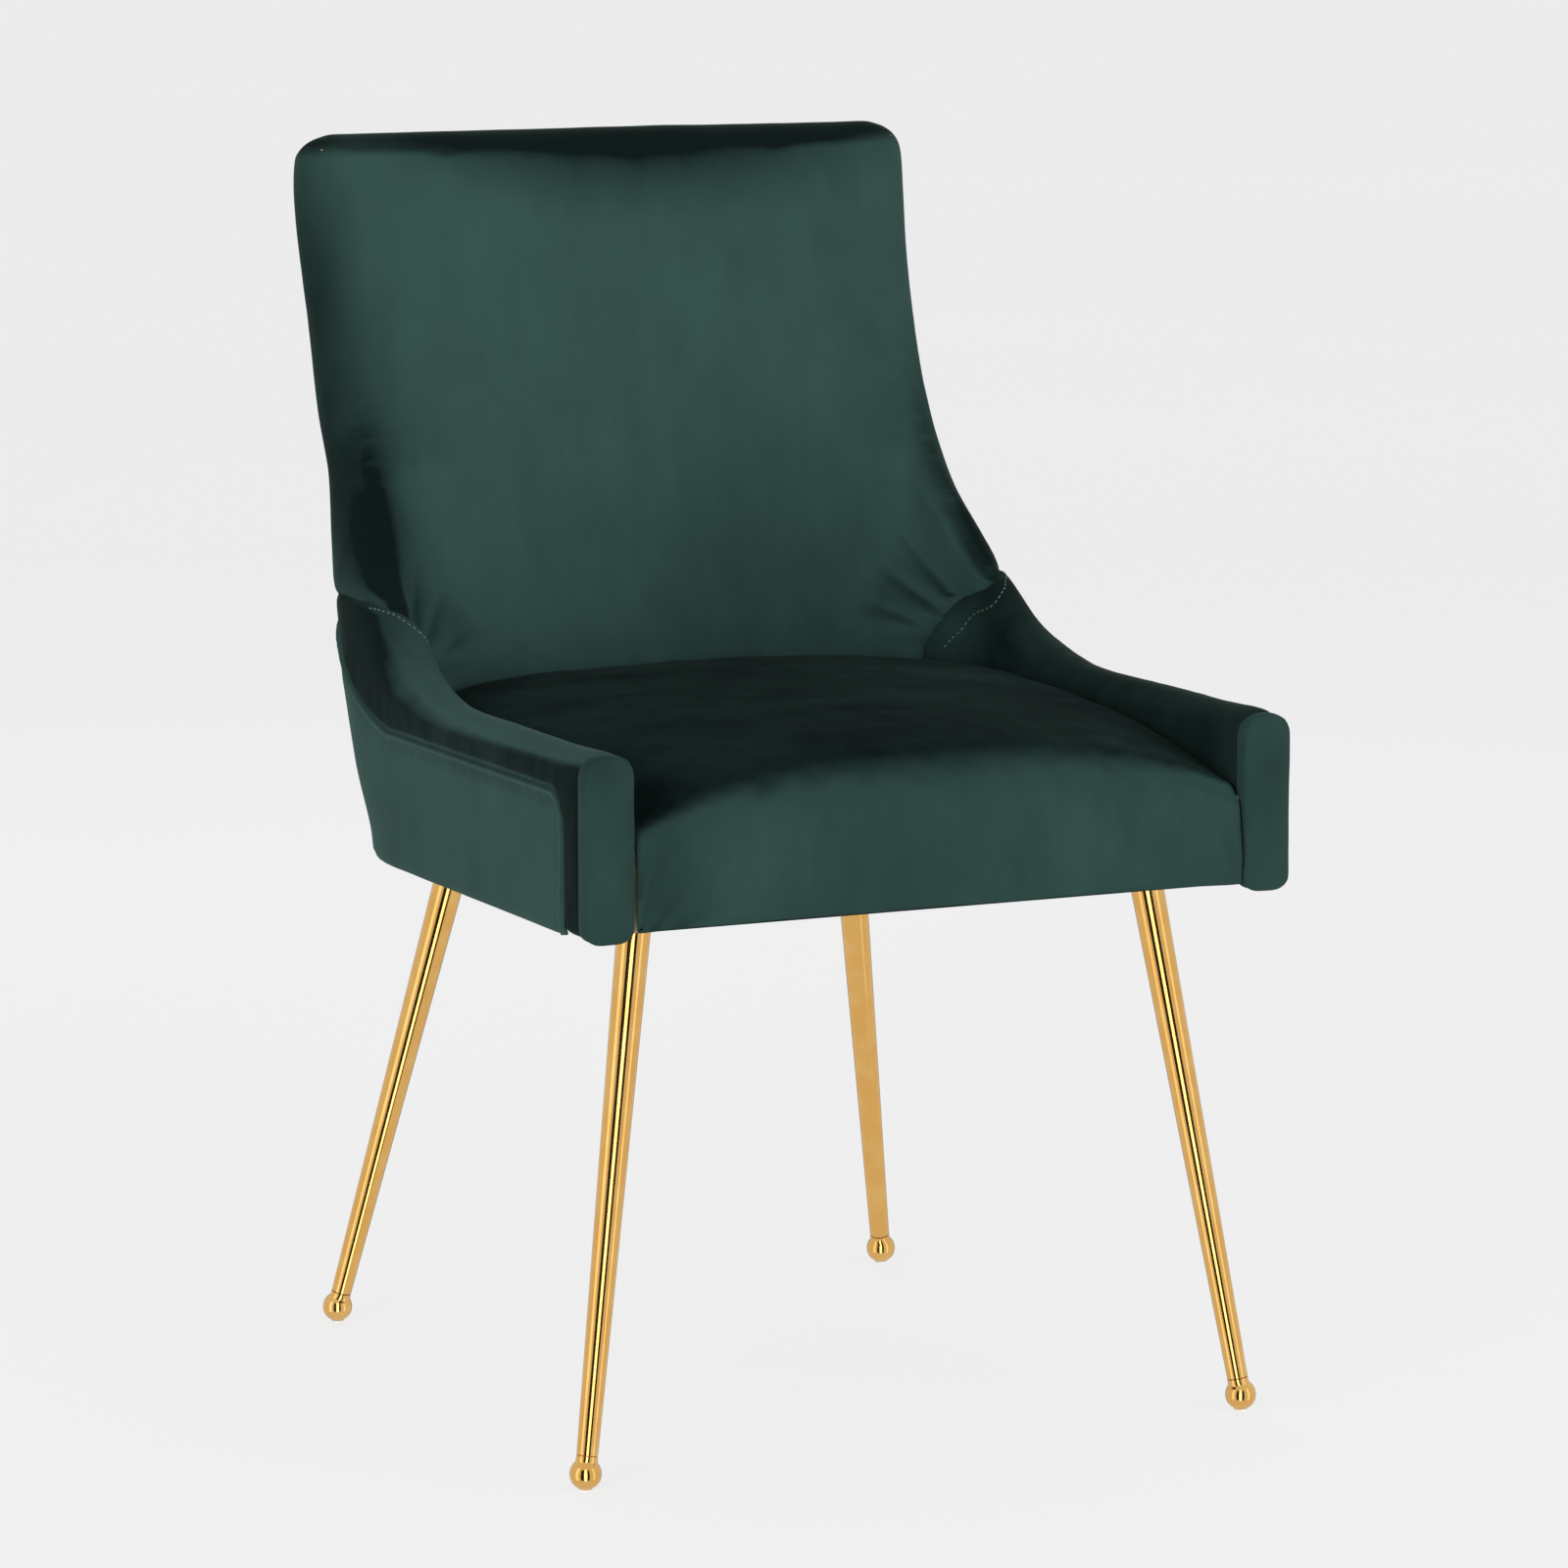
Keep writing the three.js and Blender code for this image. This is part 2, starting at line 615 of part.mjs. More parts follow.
// A leg plate lies across the line from the leg to its corner of the body.
const plateAngle = (leg) => (leg.name === "front" ? -45 : 63);
function platePlace(leg) {
  const angle = THREE.MathUtils.degToRad(plateAngle(leg));
  const outward = new THREE.Vector2(Math.cos(angle), Math.sin(angle));
  const centre = new THREE.Vector2(...leg.top).addScaledVector(outward, -PLATE.inset);
  return { angle, centre, outward, across: new THREE.Vector2(-outward.y, outward.x) };
}

function boltPlaces(leg) {
  const { centre, outward, across } = platePlace(leg);
  const signs = [[-1, -1], [-1, 1], [1, -1], [1, 1]];
  return signs.map(([u, v]) =>
    centre
      .clone()
      .addScaledVector(outward, (u * BOLT_PITCH.across) / 2)
      .addScaledVector(across, (v * BOLT_PITCH.along) / 2),
  );
}

function boltHoles(leg) {
  const radius = BOLT.radius + BOLT.clearance;
  const height = BOLT.length + 4;
  const holes = boltPlaces(leg).map((place) =>
    solid(
      new THREE.CylinderGeometry(radius, radius, height, 12)
        .rotateX(Math.PI / 2)
        .translate(place.x, place.y, PLATE_BOTTOM - 2 + height / 2),
    ),
  );
  return holes.reduce((all, hole) => all.add(hole));
}

function legPlate(leg) {
  const { angle, centre } = platePlace(leg);
  const plate = new THREE.BoxGeometry(PLATE.width, PLATE.length, PLATE.thickness)
    .rotateZ(angle)
    .translate(centre.x, centre.y, PLATE_BOTTOM + PLATE.thickness / 2);
  return solid(plate).subtract(boltHoles(leg));
}

function bolt(place) {
  const head = -GAP - BOLT.headHeight;
  const profile = [
    [0, head],
    [BOLT.headRadius * 0.8, head],
    [BOLT.headRadius, head + BOLT.headHeight * 0.4],
    [BOLT.headRadius, -GAP],
    [BOLT.radius, -GAP],
    [BOLT.radius, BOLT.length],
    [0, BOLT.length],
  ];
  return lathe(profile, 12).translate(place.x, place.y, PLATE_BOTTOM);
}

const rightHoles = LEGS.map(boltHoles).reduce((all, holes) => all.add(holes));
const allHoles = rightHoles.add(flipX(rightHoles));

const dustCover = body(DUST_INSET, DUST_BOTTOM, DUST_BOTTOM + DUST_COVER)
  .intersect(box(-RAIL_OUTSIDE, RAIL_OUTSIDE, FRAME_FRONT, FAR, 0, HEIGHT))
  .subtract(allHoles);

// ---------------------------------------------------------------- the chair

const finish = (color, roughness, metalness = 0) => ({ color, roughness, metalness });
const VELVET = finish(0x27463f, 0.75);
const PLYWOOD = finish(0xc9a574, 0.8);
const BEECH = finish(0xd0b080, 0.75);
const GOLD = finish(0xd4a85a, 0.12, 1);
const BLACK_STEEL = finish(0x1b1b1c, 0.45, 0.8);
const ZINC = finish(0x9b9ca0, 0.35, 1);
const NYLON = finish(0xd8d6cf, 0.4);
const BLACK_CLOTH = finish(0x141414, 0.95);

const chair = new THREE.Group();

function add(name, geometry, look) {
  const mesh = new THREE.Mesh(geometry, new THREE.MeshStandardMaterial(look));
  mesh.name = name;
  chair.add(mesh);
}

const addSolid = (name, shape, look) => add(name, geometryOf(shape), look);

function addPair(name, right, look) {
  addSolid(`${name}_right`, right, look);
  addSolid(`${name}_left`, flipX(right), look);
}

addSolid("seat_cushion", cushion, VELVET);
addSolid("back_pad", backPad, VELVET);
addPair("arm_pad", armPad, VELVET);
addPair("arm_facing", facing, VELVET);
addPair("outer_side", outerSide, VELVET);
addSolid("outside_back", outsideBack, VELVET);
addSolid("dust_cover", dustCover, BLACK_CLOTH);

addSolid("seat_board", seatBoard, PLYWOOD);
addSolid("front_rail", frontRail.subtract(allHoles), BEECH);
addSolid("rear_rail", rearRail.subtract(allHoles), BEECH);
addPair("side_rail", sideRail.intersect(frameRoom).subtract(rightHoles), BEECH);
addPair("arm_panel", armPanel(), PLYWOOD);
addPair("back_post", backPost().subtract(rightHoles), BEECH);
addSolid("top_rail", betweenPosts(topRail(0)), BEECH);
addSolid("lower_back_rail", betweenPosts(lowerRail(0)), BEECH);
addSolid("back_board", betweenPosts(backBoard(0)), PLYWOOD);
addPair("corner_block_front", frontBlock.subtract(rightHoles), BEECH);
addPair("corner_block_rear", rearBlock.subtract(rightHoles), BEECH);

for (const leg of LEGS) {
  addPair(`leg_${leg.name}`, legTube(leg), GOLD);
  addPair(`ball_foot_${leg.name}`, ballFoot(leg), GOLD);
  addPair(`glide_${leg.name}`, solid(glide(leg)), NYLON);
  addPair(`leg_plate_${leg.name}`, legPlate(leg), BLACK_STEEL);
  boltPlaces(leg).forEach((place, i) => {
    addPair(`bolt_${leg.name}_${i + 1}`, solid(bolt(place)), ZINC);
  });
}

export default chair;
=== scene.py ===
# %% [markdown]
# # A velvet dining chair on gold legs
#
# This lesson dresses a finished chair design. The design, in STEP solids, fixes every size and place:
# a plywood and beech frame, steel legs, and one plain solid for each upholstered part. Here each soft
# part becomes sewn velvet over foam, and the legs become polished metal.
# Everything is in metres: +Z is up, the chair faces -Y, and left is -X.

# %% Load the design
import json
import math

import bmesh
import bpy
from mathutils import Matrix, Vector, noise
from mathutils.bvhtree import BVHTree

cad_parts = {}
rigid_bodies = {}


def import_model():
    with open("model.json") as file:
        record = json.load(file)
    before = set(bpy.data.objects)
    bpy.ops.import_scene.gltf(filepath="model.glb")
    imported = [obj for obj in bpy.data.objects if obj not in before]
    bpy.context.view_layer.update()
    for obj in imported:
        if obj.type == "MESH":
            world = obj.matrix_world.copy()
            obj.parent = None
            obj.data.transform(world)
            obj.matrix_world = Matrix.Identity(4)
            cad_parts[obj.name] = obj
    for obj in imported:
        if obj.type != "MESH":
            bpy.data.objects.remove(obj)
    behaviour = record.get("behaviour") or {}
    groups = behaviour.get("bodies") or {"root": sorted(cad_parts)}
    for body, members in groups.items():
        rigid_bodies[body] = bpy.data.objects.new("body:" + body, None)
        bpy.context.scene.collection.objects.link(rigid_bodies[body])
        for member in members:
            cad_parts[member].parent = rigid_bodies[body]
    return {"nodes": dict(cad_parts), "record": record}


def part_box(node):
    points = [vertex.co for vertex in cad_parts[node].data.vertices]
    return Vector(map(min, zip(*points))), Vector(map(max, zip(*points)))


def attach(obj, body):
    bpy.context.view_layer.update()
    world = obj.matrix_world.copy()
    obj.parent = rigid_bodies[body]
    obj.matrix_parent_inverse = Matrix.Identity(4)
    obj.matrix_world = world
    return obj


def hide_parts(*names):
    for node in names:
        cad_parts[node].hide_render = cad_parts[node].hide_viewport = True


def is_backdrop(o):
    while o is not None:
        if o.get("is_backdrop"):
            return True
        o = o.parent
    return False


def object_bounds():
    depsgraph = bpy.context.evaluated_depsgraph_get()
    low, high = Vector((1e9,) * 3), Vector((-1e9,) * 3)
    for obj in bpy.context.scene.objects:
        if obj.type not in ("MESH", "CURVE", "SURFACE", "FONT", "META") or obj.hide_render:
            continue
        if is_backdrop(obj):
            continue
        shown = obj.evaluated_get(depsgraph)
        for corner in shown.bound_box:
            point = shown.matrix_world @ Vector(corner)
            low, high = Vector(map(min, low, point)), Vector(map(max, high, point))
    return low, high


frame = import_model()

MM = 0.001

# %% [markdown]
# ## The sizes that the upholstery follows
#
# Every driving size is measured on the design, so the covers fit the frame under them. The facing, the
# flat pad on the front of an arm, gives the wall's thickness, the arm's height and the lower edge.

# %% Overall sizes, read from the design
CAD_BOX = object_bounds()
LOW, HIGH = CAD_BOX
FACING_LOW, FACING_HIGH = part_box("arm_facing_right")
BOTTOM = FACING_LOW.z
ARM_TOP = FACING_HIGH.z + 5 * MM
WALL = FACING_HIGH.x - FACING_LOW.x
ROLL = WALL / 2
HEIGHT, FRONT, REAR, HALF = HIGH.z, LOW.y, HIGH.y, HIGH.x
FACING_BACK = FACING_HIGH.y
PAD_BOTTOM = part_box("seat_board")[1].z + 0.3 * MM
print("chair", [round(x, 4) for x in HIGH - LOW], "arm wall", round(WALL, 4))

# %% [markdown]
# ## The shape of the shell
#
# Arms and back are one bent wall. Seen from above, every height has an outline: straight arms, round
# corners and a slightly bowed back. A few sizes change with height: the width, the lean of the rear
# face, the radius of the corners and the thickness. Each is a smooth curve through a few listed
# heights. Drawing them as curves keeps the sweep from arm to back free of kinks.


# %% Curves over height
def up(share):
    """A height between the top of the arms and the top of the back."""
    return ARM_TOP + share * (HEIGHT - ARM_TOP)


def curve(*pairs):
    """A smooth line through (position, millimetres) pairs, level beyond its ends, in metres."""
    at = [p for p, _ in pairs]
    value = [v * MM for _, v in pairs]
    rise = [(b - a) / (q - p) for a, b, p, q in zip(value, value[1:], at, at[1:])]
    joined = list(zip([0, *rise], [*rise, 0]))
    slope = [2 * a * b / (a + b) if a * b > 0 else 0 for a, b in joined]

    def read(x):
        if x <= at[0]:
            return value[0]
        if x >= at[-1]:
            return value[-1]
        i = next(k for k, p in enumerate(at) if p > x) - 1
        span = at[i + 1] - at[i]
        t = (x - at[i]) / span
        bend = span * t * (1 - t) * ((1 - t) * slope[i] - t * slope[i + 1])
        return value[i] + (value[i + 1] - value[i]) * t * t * (3 - 2 * t) + bend

    return read


half_width = curve(
    (BOTTOM, 253), (ARM_TOP - 10 * MM, 252.4), (up(0.1), 246.9), (up(0.19), 242.9),
    (up(0.41), 237.6), (up(0.63), 236), (up(0.87), 238.6), (up(0.95), 237), (HEIGHT, 236),
)
rear_face = curve(
    (BOTTOM, 215.5), (ARM_TOP, 217.7), (up(0.1), 222.7), (up(0.19), 228.5),
    (up(0.41), 243.6), (up(0.63), 261.6), (up(0.87), 285.3), (up(0.95), 287.5), (HEIGHT, 287),
)
corner_radius = curve(
    (BOTTOM, 165), (ARM_TOP - 60 * MM, 125), (ARM_TOP - 9 * MM, 100), (up(0.1), 76),
    (up(0.19), 55), (up(0.41), 40), (up(0.63), 28),
)
back_wall = curve((ARM_TOP, 68), (up(0.41), 63), (up(0.87), 57), (up(0.95), 50), (HEIGHT, 48))
BOW = 5 * MM
HOLLOW = 2 * MM
INNER_CORNER = 115 * MM

# %% [markdown]
# ## The roll along the edge
#
# On the real chair a foam roll runs along the edge of the shell: level over each arm, up the sweep, and
# round the top of the back. Its line is drawn in side view, and every point carries the roll's radius,
# which grows from half an arm's thickness to half the back's. The roll is a tube swept along that line.


# %% The line of the roll
EDGE = [(-281.8, 484), (-150, 485), (-60, 485), (-20, 489), (16, 497.5), (45, 508.5), (80, 531)]
EDGE += [(115, 556), (162, 607), (195, 660), (214, 715), (228, 771), (236, 826)]
roll_radius = curve((ARM_TOP, ROLL / MM), (up(0.1), 16.5), (up(0.2), 19), (up(0.36), 22.5), (up(0.5), 24))


def smooth_line(points, steps=8):
    """A line through the points, rounded as a Catmull-Rom spline."""
    ends = [2 * points[0] - points[1], *points, 2 * points[-1] - points[-2]]
    line = []
    for a, b, c, d in zip(ends, ends[1:], ends[2:], ends[3:]):
        for k in range(steps):
            t = k / steps
            bend = (2 * a - 5 * b + 4 * c - d) * t * t + (3 * b - a - 3 * c + d) * t**3
            line.append((2 * b + (c - a) * t + bend) / 2)
    return [*line, points[-1].copy()]


def roll_line():
    """Centres and radii of the right half of the roll, from the arm's front to the top's middle."""
    edge = smooth_line([Vector((y * MM, z * MM)) for y, z in EDGE])
    line = []
    for i, here in enumerate(edge):
        ahead = (edge[min(i + 1, len(edge) - 1)] - edge[max(i - 1, 0)]).normalized()
        r = roll_radius(here.y)
        centre = here + r * Vector((ahead.y, -ahead.x))
        line.append((Vector((half_width(here.y) - r, centre.x, centre.y)), r))
    r = roll_radius(HEIGHT)
    high, rear = HEIGHT - r, rear_face(HEIGHT) - r
    line = [(p, q) for p, q in line if p.z < high - 3 * MM]
    for x in (0.99, 0.9, 0.75, 0.5, 0.25, 0):
        bow = BOW * x * x
        line.append((Vector((x * (half_width(HEIGHT) - r), rear - bow, high - 1.5 * MM * x**4)), r))
    return line


ROLL_LINE = roll_line()
print("roll", len(ROLL_LINE), "stations, ends at", [round(v, 4) for v in ROLL_LINE[-1][0]])


# %% Skins through rings of points
def loft(bm, rings):
    """A closed skin: the first ring is a loop of edges, each next ring is extruded from the last."""
    ring = [bm.verts.new(p) for p in rings[0]]
    edges = [bm.edges.new((a, b)) for a, b in zip(ring, [*ring[1:], ring[0]])]
    bmesh.ops.contextual_create(bm, geom=edges)
    for points in rings[1:]:
        made = bmesh.ops.extrude_edge_only(bm, edges=edges)["geom"]
        new = {v for v in made if isinstance(v, bmesh.types.BMVert)}
        ring = [next(w for w in (e.other_vert(v) for e in v.link_edges) if w in new) for v in ring]
        for v, p in zip(ring, points):
            v.co = p
        edges = [bm.edges.get(pair) for pair in zip(ring, [*ring[1:], ring[0]])]
    bmesh.ops.contextual_create(bm, geom=edges)
    bmesh.ops.recalc_face_normals(bm, faces=bm.faces)


def tube(bm, line, sides=28):
    """A round skin along (centre, radius) stations, with flat ends."""
    rings = []
    side = None
    for i, (centre, radius) in enumerate(line):
        ahead = (line[min(i + 1, len(line) - 1)][0] - line[max(i - 1, 0)][0]).normalized()
        side = ahead.orthogonal() if side is None else side - side.dot(ahead) * ahead
        side.normalize()
        other = ahead.cross(side)
        turns = [2 * math.pi * k / sides for k in range(sides)]
        rings.append([centre + radius * (math.cos(a) * side + math.sin(a) * other) for a in turns])
    loft(bm, rings)


# %% [markdown]
# ## The wall behind the roll
#
# The rest of the wall is a stack of outlines. Each ends on the roll's centre line, so that the roll
# covers the wall's square end and rounds it. Stacking outlines is the natural way here, because the
# wall bends sharply in plan and only gently in height.


# %% Outlines of the wall
def arc(x, y, radius, start, stop, steps):
    """Points on an arc about (x, y), from one angle to another in degrees."""
    angles = [math.radians(start + (stop - start) * k / steps) for k in range(steps + 1)]
    return [(x + radius * math.cos(a), y + radius * math.sin(a)) for a in angles]


def outside_half(z, front):
    """Right half of the outside, from the front end to the middle of the rear face."""
    half, radius, rear = half_width(z), corner_radius(z), rear_face(z)
    flat = half - radius
    bowed = [(flat * s, rear - BOW * s * s) for s in (0.75, 0.5, 0.25, 0)]
    start = min(front, rear - BOW - radius - MM)
    return [(half, start), *arc(flat, rear - BOW - radius, radius, 0, 90, 16), *bowed]


def inside_half(z, front, end):
    """Right half of the inside, from the middle of the back to the arm's end."""
    half = half_width(z) - WALL
    middle = rear_face(z) - back_wall(z)
    crown = max(front - middle + MM, -HOLLOW)
    radius = max(min(middle + crown - front - MM, INNER_CORNER), 0.5 * MM)
    flat = half - radius
    bowed = [(flat * s, middle + crown * s * s) for s in (0, 0.25, 0.5, 0.75)]
    corner = arc(flat, middle + crown - radius, radius, 90, 0, 16)
    corner_end = corner[-1][1]
    if end > corner_end:
        end = max(end, corner_end + 0.2 * MM)
    return [*bowed, *corner, (half, end)]


def mirrored(points):
    """The same outline on the other side, in the order that carries on from the middle."""
    return [(-x, y) for x, y in reversed(points)]


def roll_at(z):
    """Where the roll's centre line passes a height: its Y and the Y of its front edge."""
    stations = [(p, r) for p, r in ROLL_LINE if p.x > half_width(HEIGHT) - 30 * MM]
    if z <= stations[0][0].z:
        return FACING_BACK, FACING_BACK
    for (p, r), (q, s) in zip(stations, stations[1:]):
        if p.z <= z <= q.z and q.z > p.z:
            t = (z - p.z) / (q.z - p.z)
            y = p.y + (q.y - p.y) * t
            return y, y - (r + (s - r) * t)
    p, r = stations[-1]
    return p.y, p.y - r


def wall_outline(z):
    """The whole outline of the wall at a height: round the outside and back along the inside."""
    centre, front = roll_at(z)
    outside = outside_half(z, centre)
    inside = inside_half(z, front, centre)
    return [*outside, *mirrored(outside)[1:], *mirrored(inside), *inside[1:]]


LEVELS = [PAD_BOTTOM + k * 5 * MM for k in range(6)]
LEVELS += [ARM_TOP - ROLL + k * MM for k in (0.4, 1.2, 2.5, 4, 6, 9, 13, 18, 24, 31, 40, 52, 66, 82, 100)]
LEVELS += [up(0.3 + 0.05 * k) for k in range(13)] + [HEIGHT - roll_radius(HEIGHT)]
LEVELS = sorted(z for z in set(LEVELS) if z <= HEIGHT - roll_radius(HEIGHT))


# %% The roll's other half, and a mesh as an object
def flipped(line):
    return [(Vector((-p.x, p.y, p.z)), r) for p, r in line]


def as_object(bm, name):
    """Puts a finished bmesh into the scene as a new object."""
    mesh = bpy.data.meshes.new(name)
    bm.to_mesh(mesh)
    bm.free()
    piece = bpy.data.objects.new(name, mesh)
    bpy.context.scene.collection.objects.link(piece)
    return piece


# %% [markdown]
# ## Cutting the wall into pads
#
# The velvet over the arms and the velvet over the inner back are separate panels, and a curved seam each
# side joins them. Seen from the front the seam starts at the seat, climbs and turns outwards to the
# edge. Pushed straight through the wall, that curve makes a cutter: what lies outside it is an arm pad,
# and the rest is the back pad. A Boolean modifier does each cut while the solids are still simple.

# %% The seam between arm and back, in front view
SEAM_LINE = [(189, 380), (189, 470), (193, 486), (200, 497), (210, 512), (225, 527), (240, 535), (300, 543)]
SEAM = smooth_line([Vector((x * MM, z * MM)) for x, z in SEAM_LINE], 6)
SEAM_LAP = 2 * MM  # smoothing takes this much off each side of the seam


def arm_zone(side, grow):
    """A block through the chair that holds one arm: its inner face is the seam."""
    bm = bmesh.new()
    outline = [p + grow * Vector((-1, 1)) for p in SEAM]
    beyond, above, below = 0.4, 0.56, 0.3  # clear of the arm's outside, its top and its hem
    outline += [Vector((beyond, above)), Vector((beyond, below)), Vector((outline[0].x, below))]
    rings = [[Vector((side * p.x, y, p.y)) for p in outline] for y in (-0.5, 0.5)]
    loft(bm, rings)
    return as_object(bm, "zone")


def changed(piece, kind, **settings):
    """The piece's mesh after one modifier; the modifier itself is used up."""
    made = piece.modifiers.new(kind, kind)
    for key, value in settings.items():
        setattr(made, key, value)
    graph = bpy.context.evaluated_depsgraph_get()
    mesh = bpy.data.meshes.new_from_object(piece.evaluated_get(graph))
    piece.modifiers.clear()
    piece.data = mesh
    return piece


def cut_wall(name, zones):
    """The wall and the roll, each cut by (operation, zone) pairs, in one mesh of loose solids."""
    kept = bmesh.new()
    for build in (
        lambda bm: loft(bm, [[Vector((x, y, z)) for x, y in wall_outline(z)] for z in LEVELS]),
        lambda bm: tube(bm, [*ROLL_LINE, *reversed(flipped(ROLL_LINE[:-1]))]),
    ):
        bm = bmesh.new()
        build(bm)
        solid = as_object(bm, name)
        for operation, zone in zones:
            changed(solid, "BOOLEAN", operation=operation, object=zone, solver="EXACT")
        kept.from_mesh(solid.data)
        bpy.data.objects.remove(solid)
    return kept


def block(bm, low, high):
    """A plain block between two corners."""
    made = bmesh.ops.create_cube(bm, size=1)["verts"]
    low, high = Vector(low), Vector(high)
    bmesh.ops.scale(bm, verts=made, vec=high - low)
    bmesh.ops.translate(bm, verts=made, vec=(high + low) / 2)


# %% [markdown]
# ## From a rough solid to a stuffed pad
#
# The same steps make every pad. A voxel remesh turns the solids into one even skin, smoothing rounds it,
# and a short cloth simulation with air pressure inside gives the tight, slightly swollen look of velvet
# pulled over foam. The swelling is capped, so that the pad keeps its size. Last comes one subdivision.

# %% The steps of a pad
VOXEL = 4 * MM
COARSE_VOXEL = 4.5 * MM  # for the two largest pads
PRESSURE = 4.0
FRAMES = 20


def smooth(piece, times, factor=0.5):
    """Draws every vertex towards the middle of its neighbours, a number of times."""
    bm = bmesh.new()
    bm.from_mesh(piece.data)
    for _ in range(times):
        bmesh.ops.smooth_vert(
            bm, verts=bm.verts, factor=factor, use_axis_x=True, use_axis_y=True, use_axis_z=True
        )
    bm.to_mesh(piece.data)
    bm.free()


def inflate(piece, cap):
    """Runs the cloth with pressure and keeps at most cap of the movement."""
    before = [v.co.copy() for v in piece.data.vertices]
    cloth = piece.modifiers.new("Cloth", "CLOTH")
    cloth.settings.quality = 5
    cloth.settings.mass = 0.3
    cloth.settings.tension_stiffness = 15
    cloth.settings.compression_stiffness = 15
    cloth.settings.bending_stiffness = 0.5
    cloth.settings.use_pressure = True
    cloth.settings.uniform_pressure_force = PRESSURE
    cloth.settings.effector_weights.gravity = 0
    cloth.point_cache.frame_end = FRAMES
    for step in range(1, FRAMES + 1):
        bpy.context.scene.frame_set(step)
    graph = bpy.context.evaluated_depsgraph_get()
    mesh = bpy.data.meshes.new_from_object(piece.evaluated_get(graph))
    piece.modifiers.clear()
    piece.data = mesh
    bpy.context.scene.frame_set(1)
    most = 0
    for v, old in zip(mesh.vertices, before):
        move = v.co - old
        most = max(most, move.length)
        if move.length > cap:
            v.co = old + move * (cap / move.length)
    print(piece.name, "swelled", round(most / MM, 1), "mm, kept at most", round(cap / MM, 1))


def pad(bm, name, cap, rounds=4, voxel=VOXEL):
    """Rough solids in, one soft pad out; cap is the most that the air may swell it."""
    piece = as_object(bm, name)
    changed(piece, "REMESH", mode="VOXEL", voxel_size=voxel)
    smooth(piece, rounds)
    inflate(piece, cap)
    smooth(piece, 2)
    changed(piece, "SUBSURF", levels=1, render_levels=1)
    print(name, len(piece.data.polygons), "faces")
    return piece


def moved(piece, rule):
    """Moves every vertex by rule(position, normal) metres along its normal."""
    mesh = piece.data
    shifts = [rule(v.co, v.normal) for v in mesh.vertices]
    ends = [v.co + v.normal * s if s else v.co.copy() for v, s in zip(mesh.vertices, shifts)]
    for v, p in zip(mesh.vertices, ends):
        v.co = p
    mesh.update()


def step_between(low, high, value):
    """0 below low, 1 above high, and smooth between; low may be the larger of the two."""
    t = min(max((value - low) / (high - low), 0), 1)
    return t * t * (3 - 2 * t)


def bell(distance, width):
    """1 at no distance, falling smoothly to nothing over about twice the width."""
    return math.exp(-((distance / width) ** 2))


# %% [markdown]
# ## Where the outer covers lie
#
# The sides and the rear are closed by thin covers sewn or tacked on last. In side view the side cover's
# border runs up behind the facing, level under the arm, and up the sweep to the rear corner. The pads
# sink under these covers, so one function for each tells how far inside its border a point lies.


# %% Borders of the outer covers
LIP_FRONT = FRONT + 42 * MM
LIP_CORNER = 18 * MM
LIP_LEVEL = ARM_TOP - 29 * MM
LIP_HEIGHT = curve(
    (0.045, 455), (0.07, 459.5), (0.093, 467), (0.125, 484),
    (0.15, 501), (0.175, 514), (0.2, 520), (0.23, 522),
)
BACK_LOW = 150 * MM
BACK_HIGH = 207 * MM
COVER_THICKNESS = 2.6 * MM
BACK_TOP = HEIGHT - 24 * MM


def lip_at(y):
    """Height of the side cover's border at a place along the chair."""
    into = (y - LIP_FRONT) / LIP_CORNER
    if into < 1:
        return LIP_LEVEL - LIP_CORNER * (1 - math.sqrt(max(1 - (1 - max(into, 0)) ** 2, 0)))
    return LIP_HEIGHT(y)


def rear_seam(z):
    """Half the width of the rear cover at a height."""
    return BACK_LOW + (BACK_HIGH - BACK_LOW) * (z - BOTTOM) / (HEIGHT - BOTTOM)


def inside_side_cover(p):
    """How far a point is inside the side cover's border, in side view; less than 0 is outside."""
    along, height = p.y - LIP_FRONT, lip_at(p.y) - p.z
    return min(along, height * 0.93)


def inside_rear_cover(p):
    """How far a point is inside the rear cover's border, seen from behind."""
    if p.y < rear_face(p.z) - 90 * MM:
        return -1
    return min(rear_seam(p.z) - abs(p.x), BACK_TOP - p.z)


def outward(p, n):
    """True on the outside of the shell, where the normal points away from the middle of the seat."""
    middle = Vector((0, 0.03, p.z))
    return n.dot(p - middle) > 0.02


TUCK = 4.6 * MM


def tuck(p, n):
    """How far a pad sinks under the covers, with a shallow crease along their borders."""
    if not outward(p, n) or p.z > HEIGHT - 20 * MM:
        return 0
    inside = max(inside_side_cover(p), inside_rear_cover(p))
    return -TUCK * step_between(-5 * MM, 2.5 * MM, inside)


# %% [markdown]
# ## The back pad
#
# One panel of velvet covers the inner back and wraps round both sides and the top to the rear cover.
# The seams at its lower corners pull short creases into it, and the foam makes it swell a little.


# %% Build the back pad
def seam_distance(p):
    """Distance from the arm-to-back seam in front view, and the share of the way along it."""
    q = Vector((abs(p.x), p.z))
    far, share = min(((q - s).length, i) for i, s in enumerate(SEAM))
    return far, share / len(SEAM)


def ripple(p, size, seed):
    """Soft noise between -1 and 1 with bumps about size wide."""
    return noise.noise(p / size + Vector((seed, 2 * seed, 3 * seed)))


def velvet_unevenness(p, seed, height):
    """The slight unevenness of foam under cloth: broad swells with smaller ones on them."""
    return height * (0.65 * ripple(p, 0.07, seed) + 0.35 * ripple(p, 0.028, seed + 5))


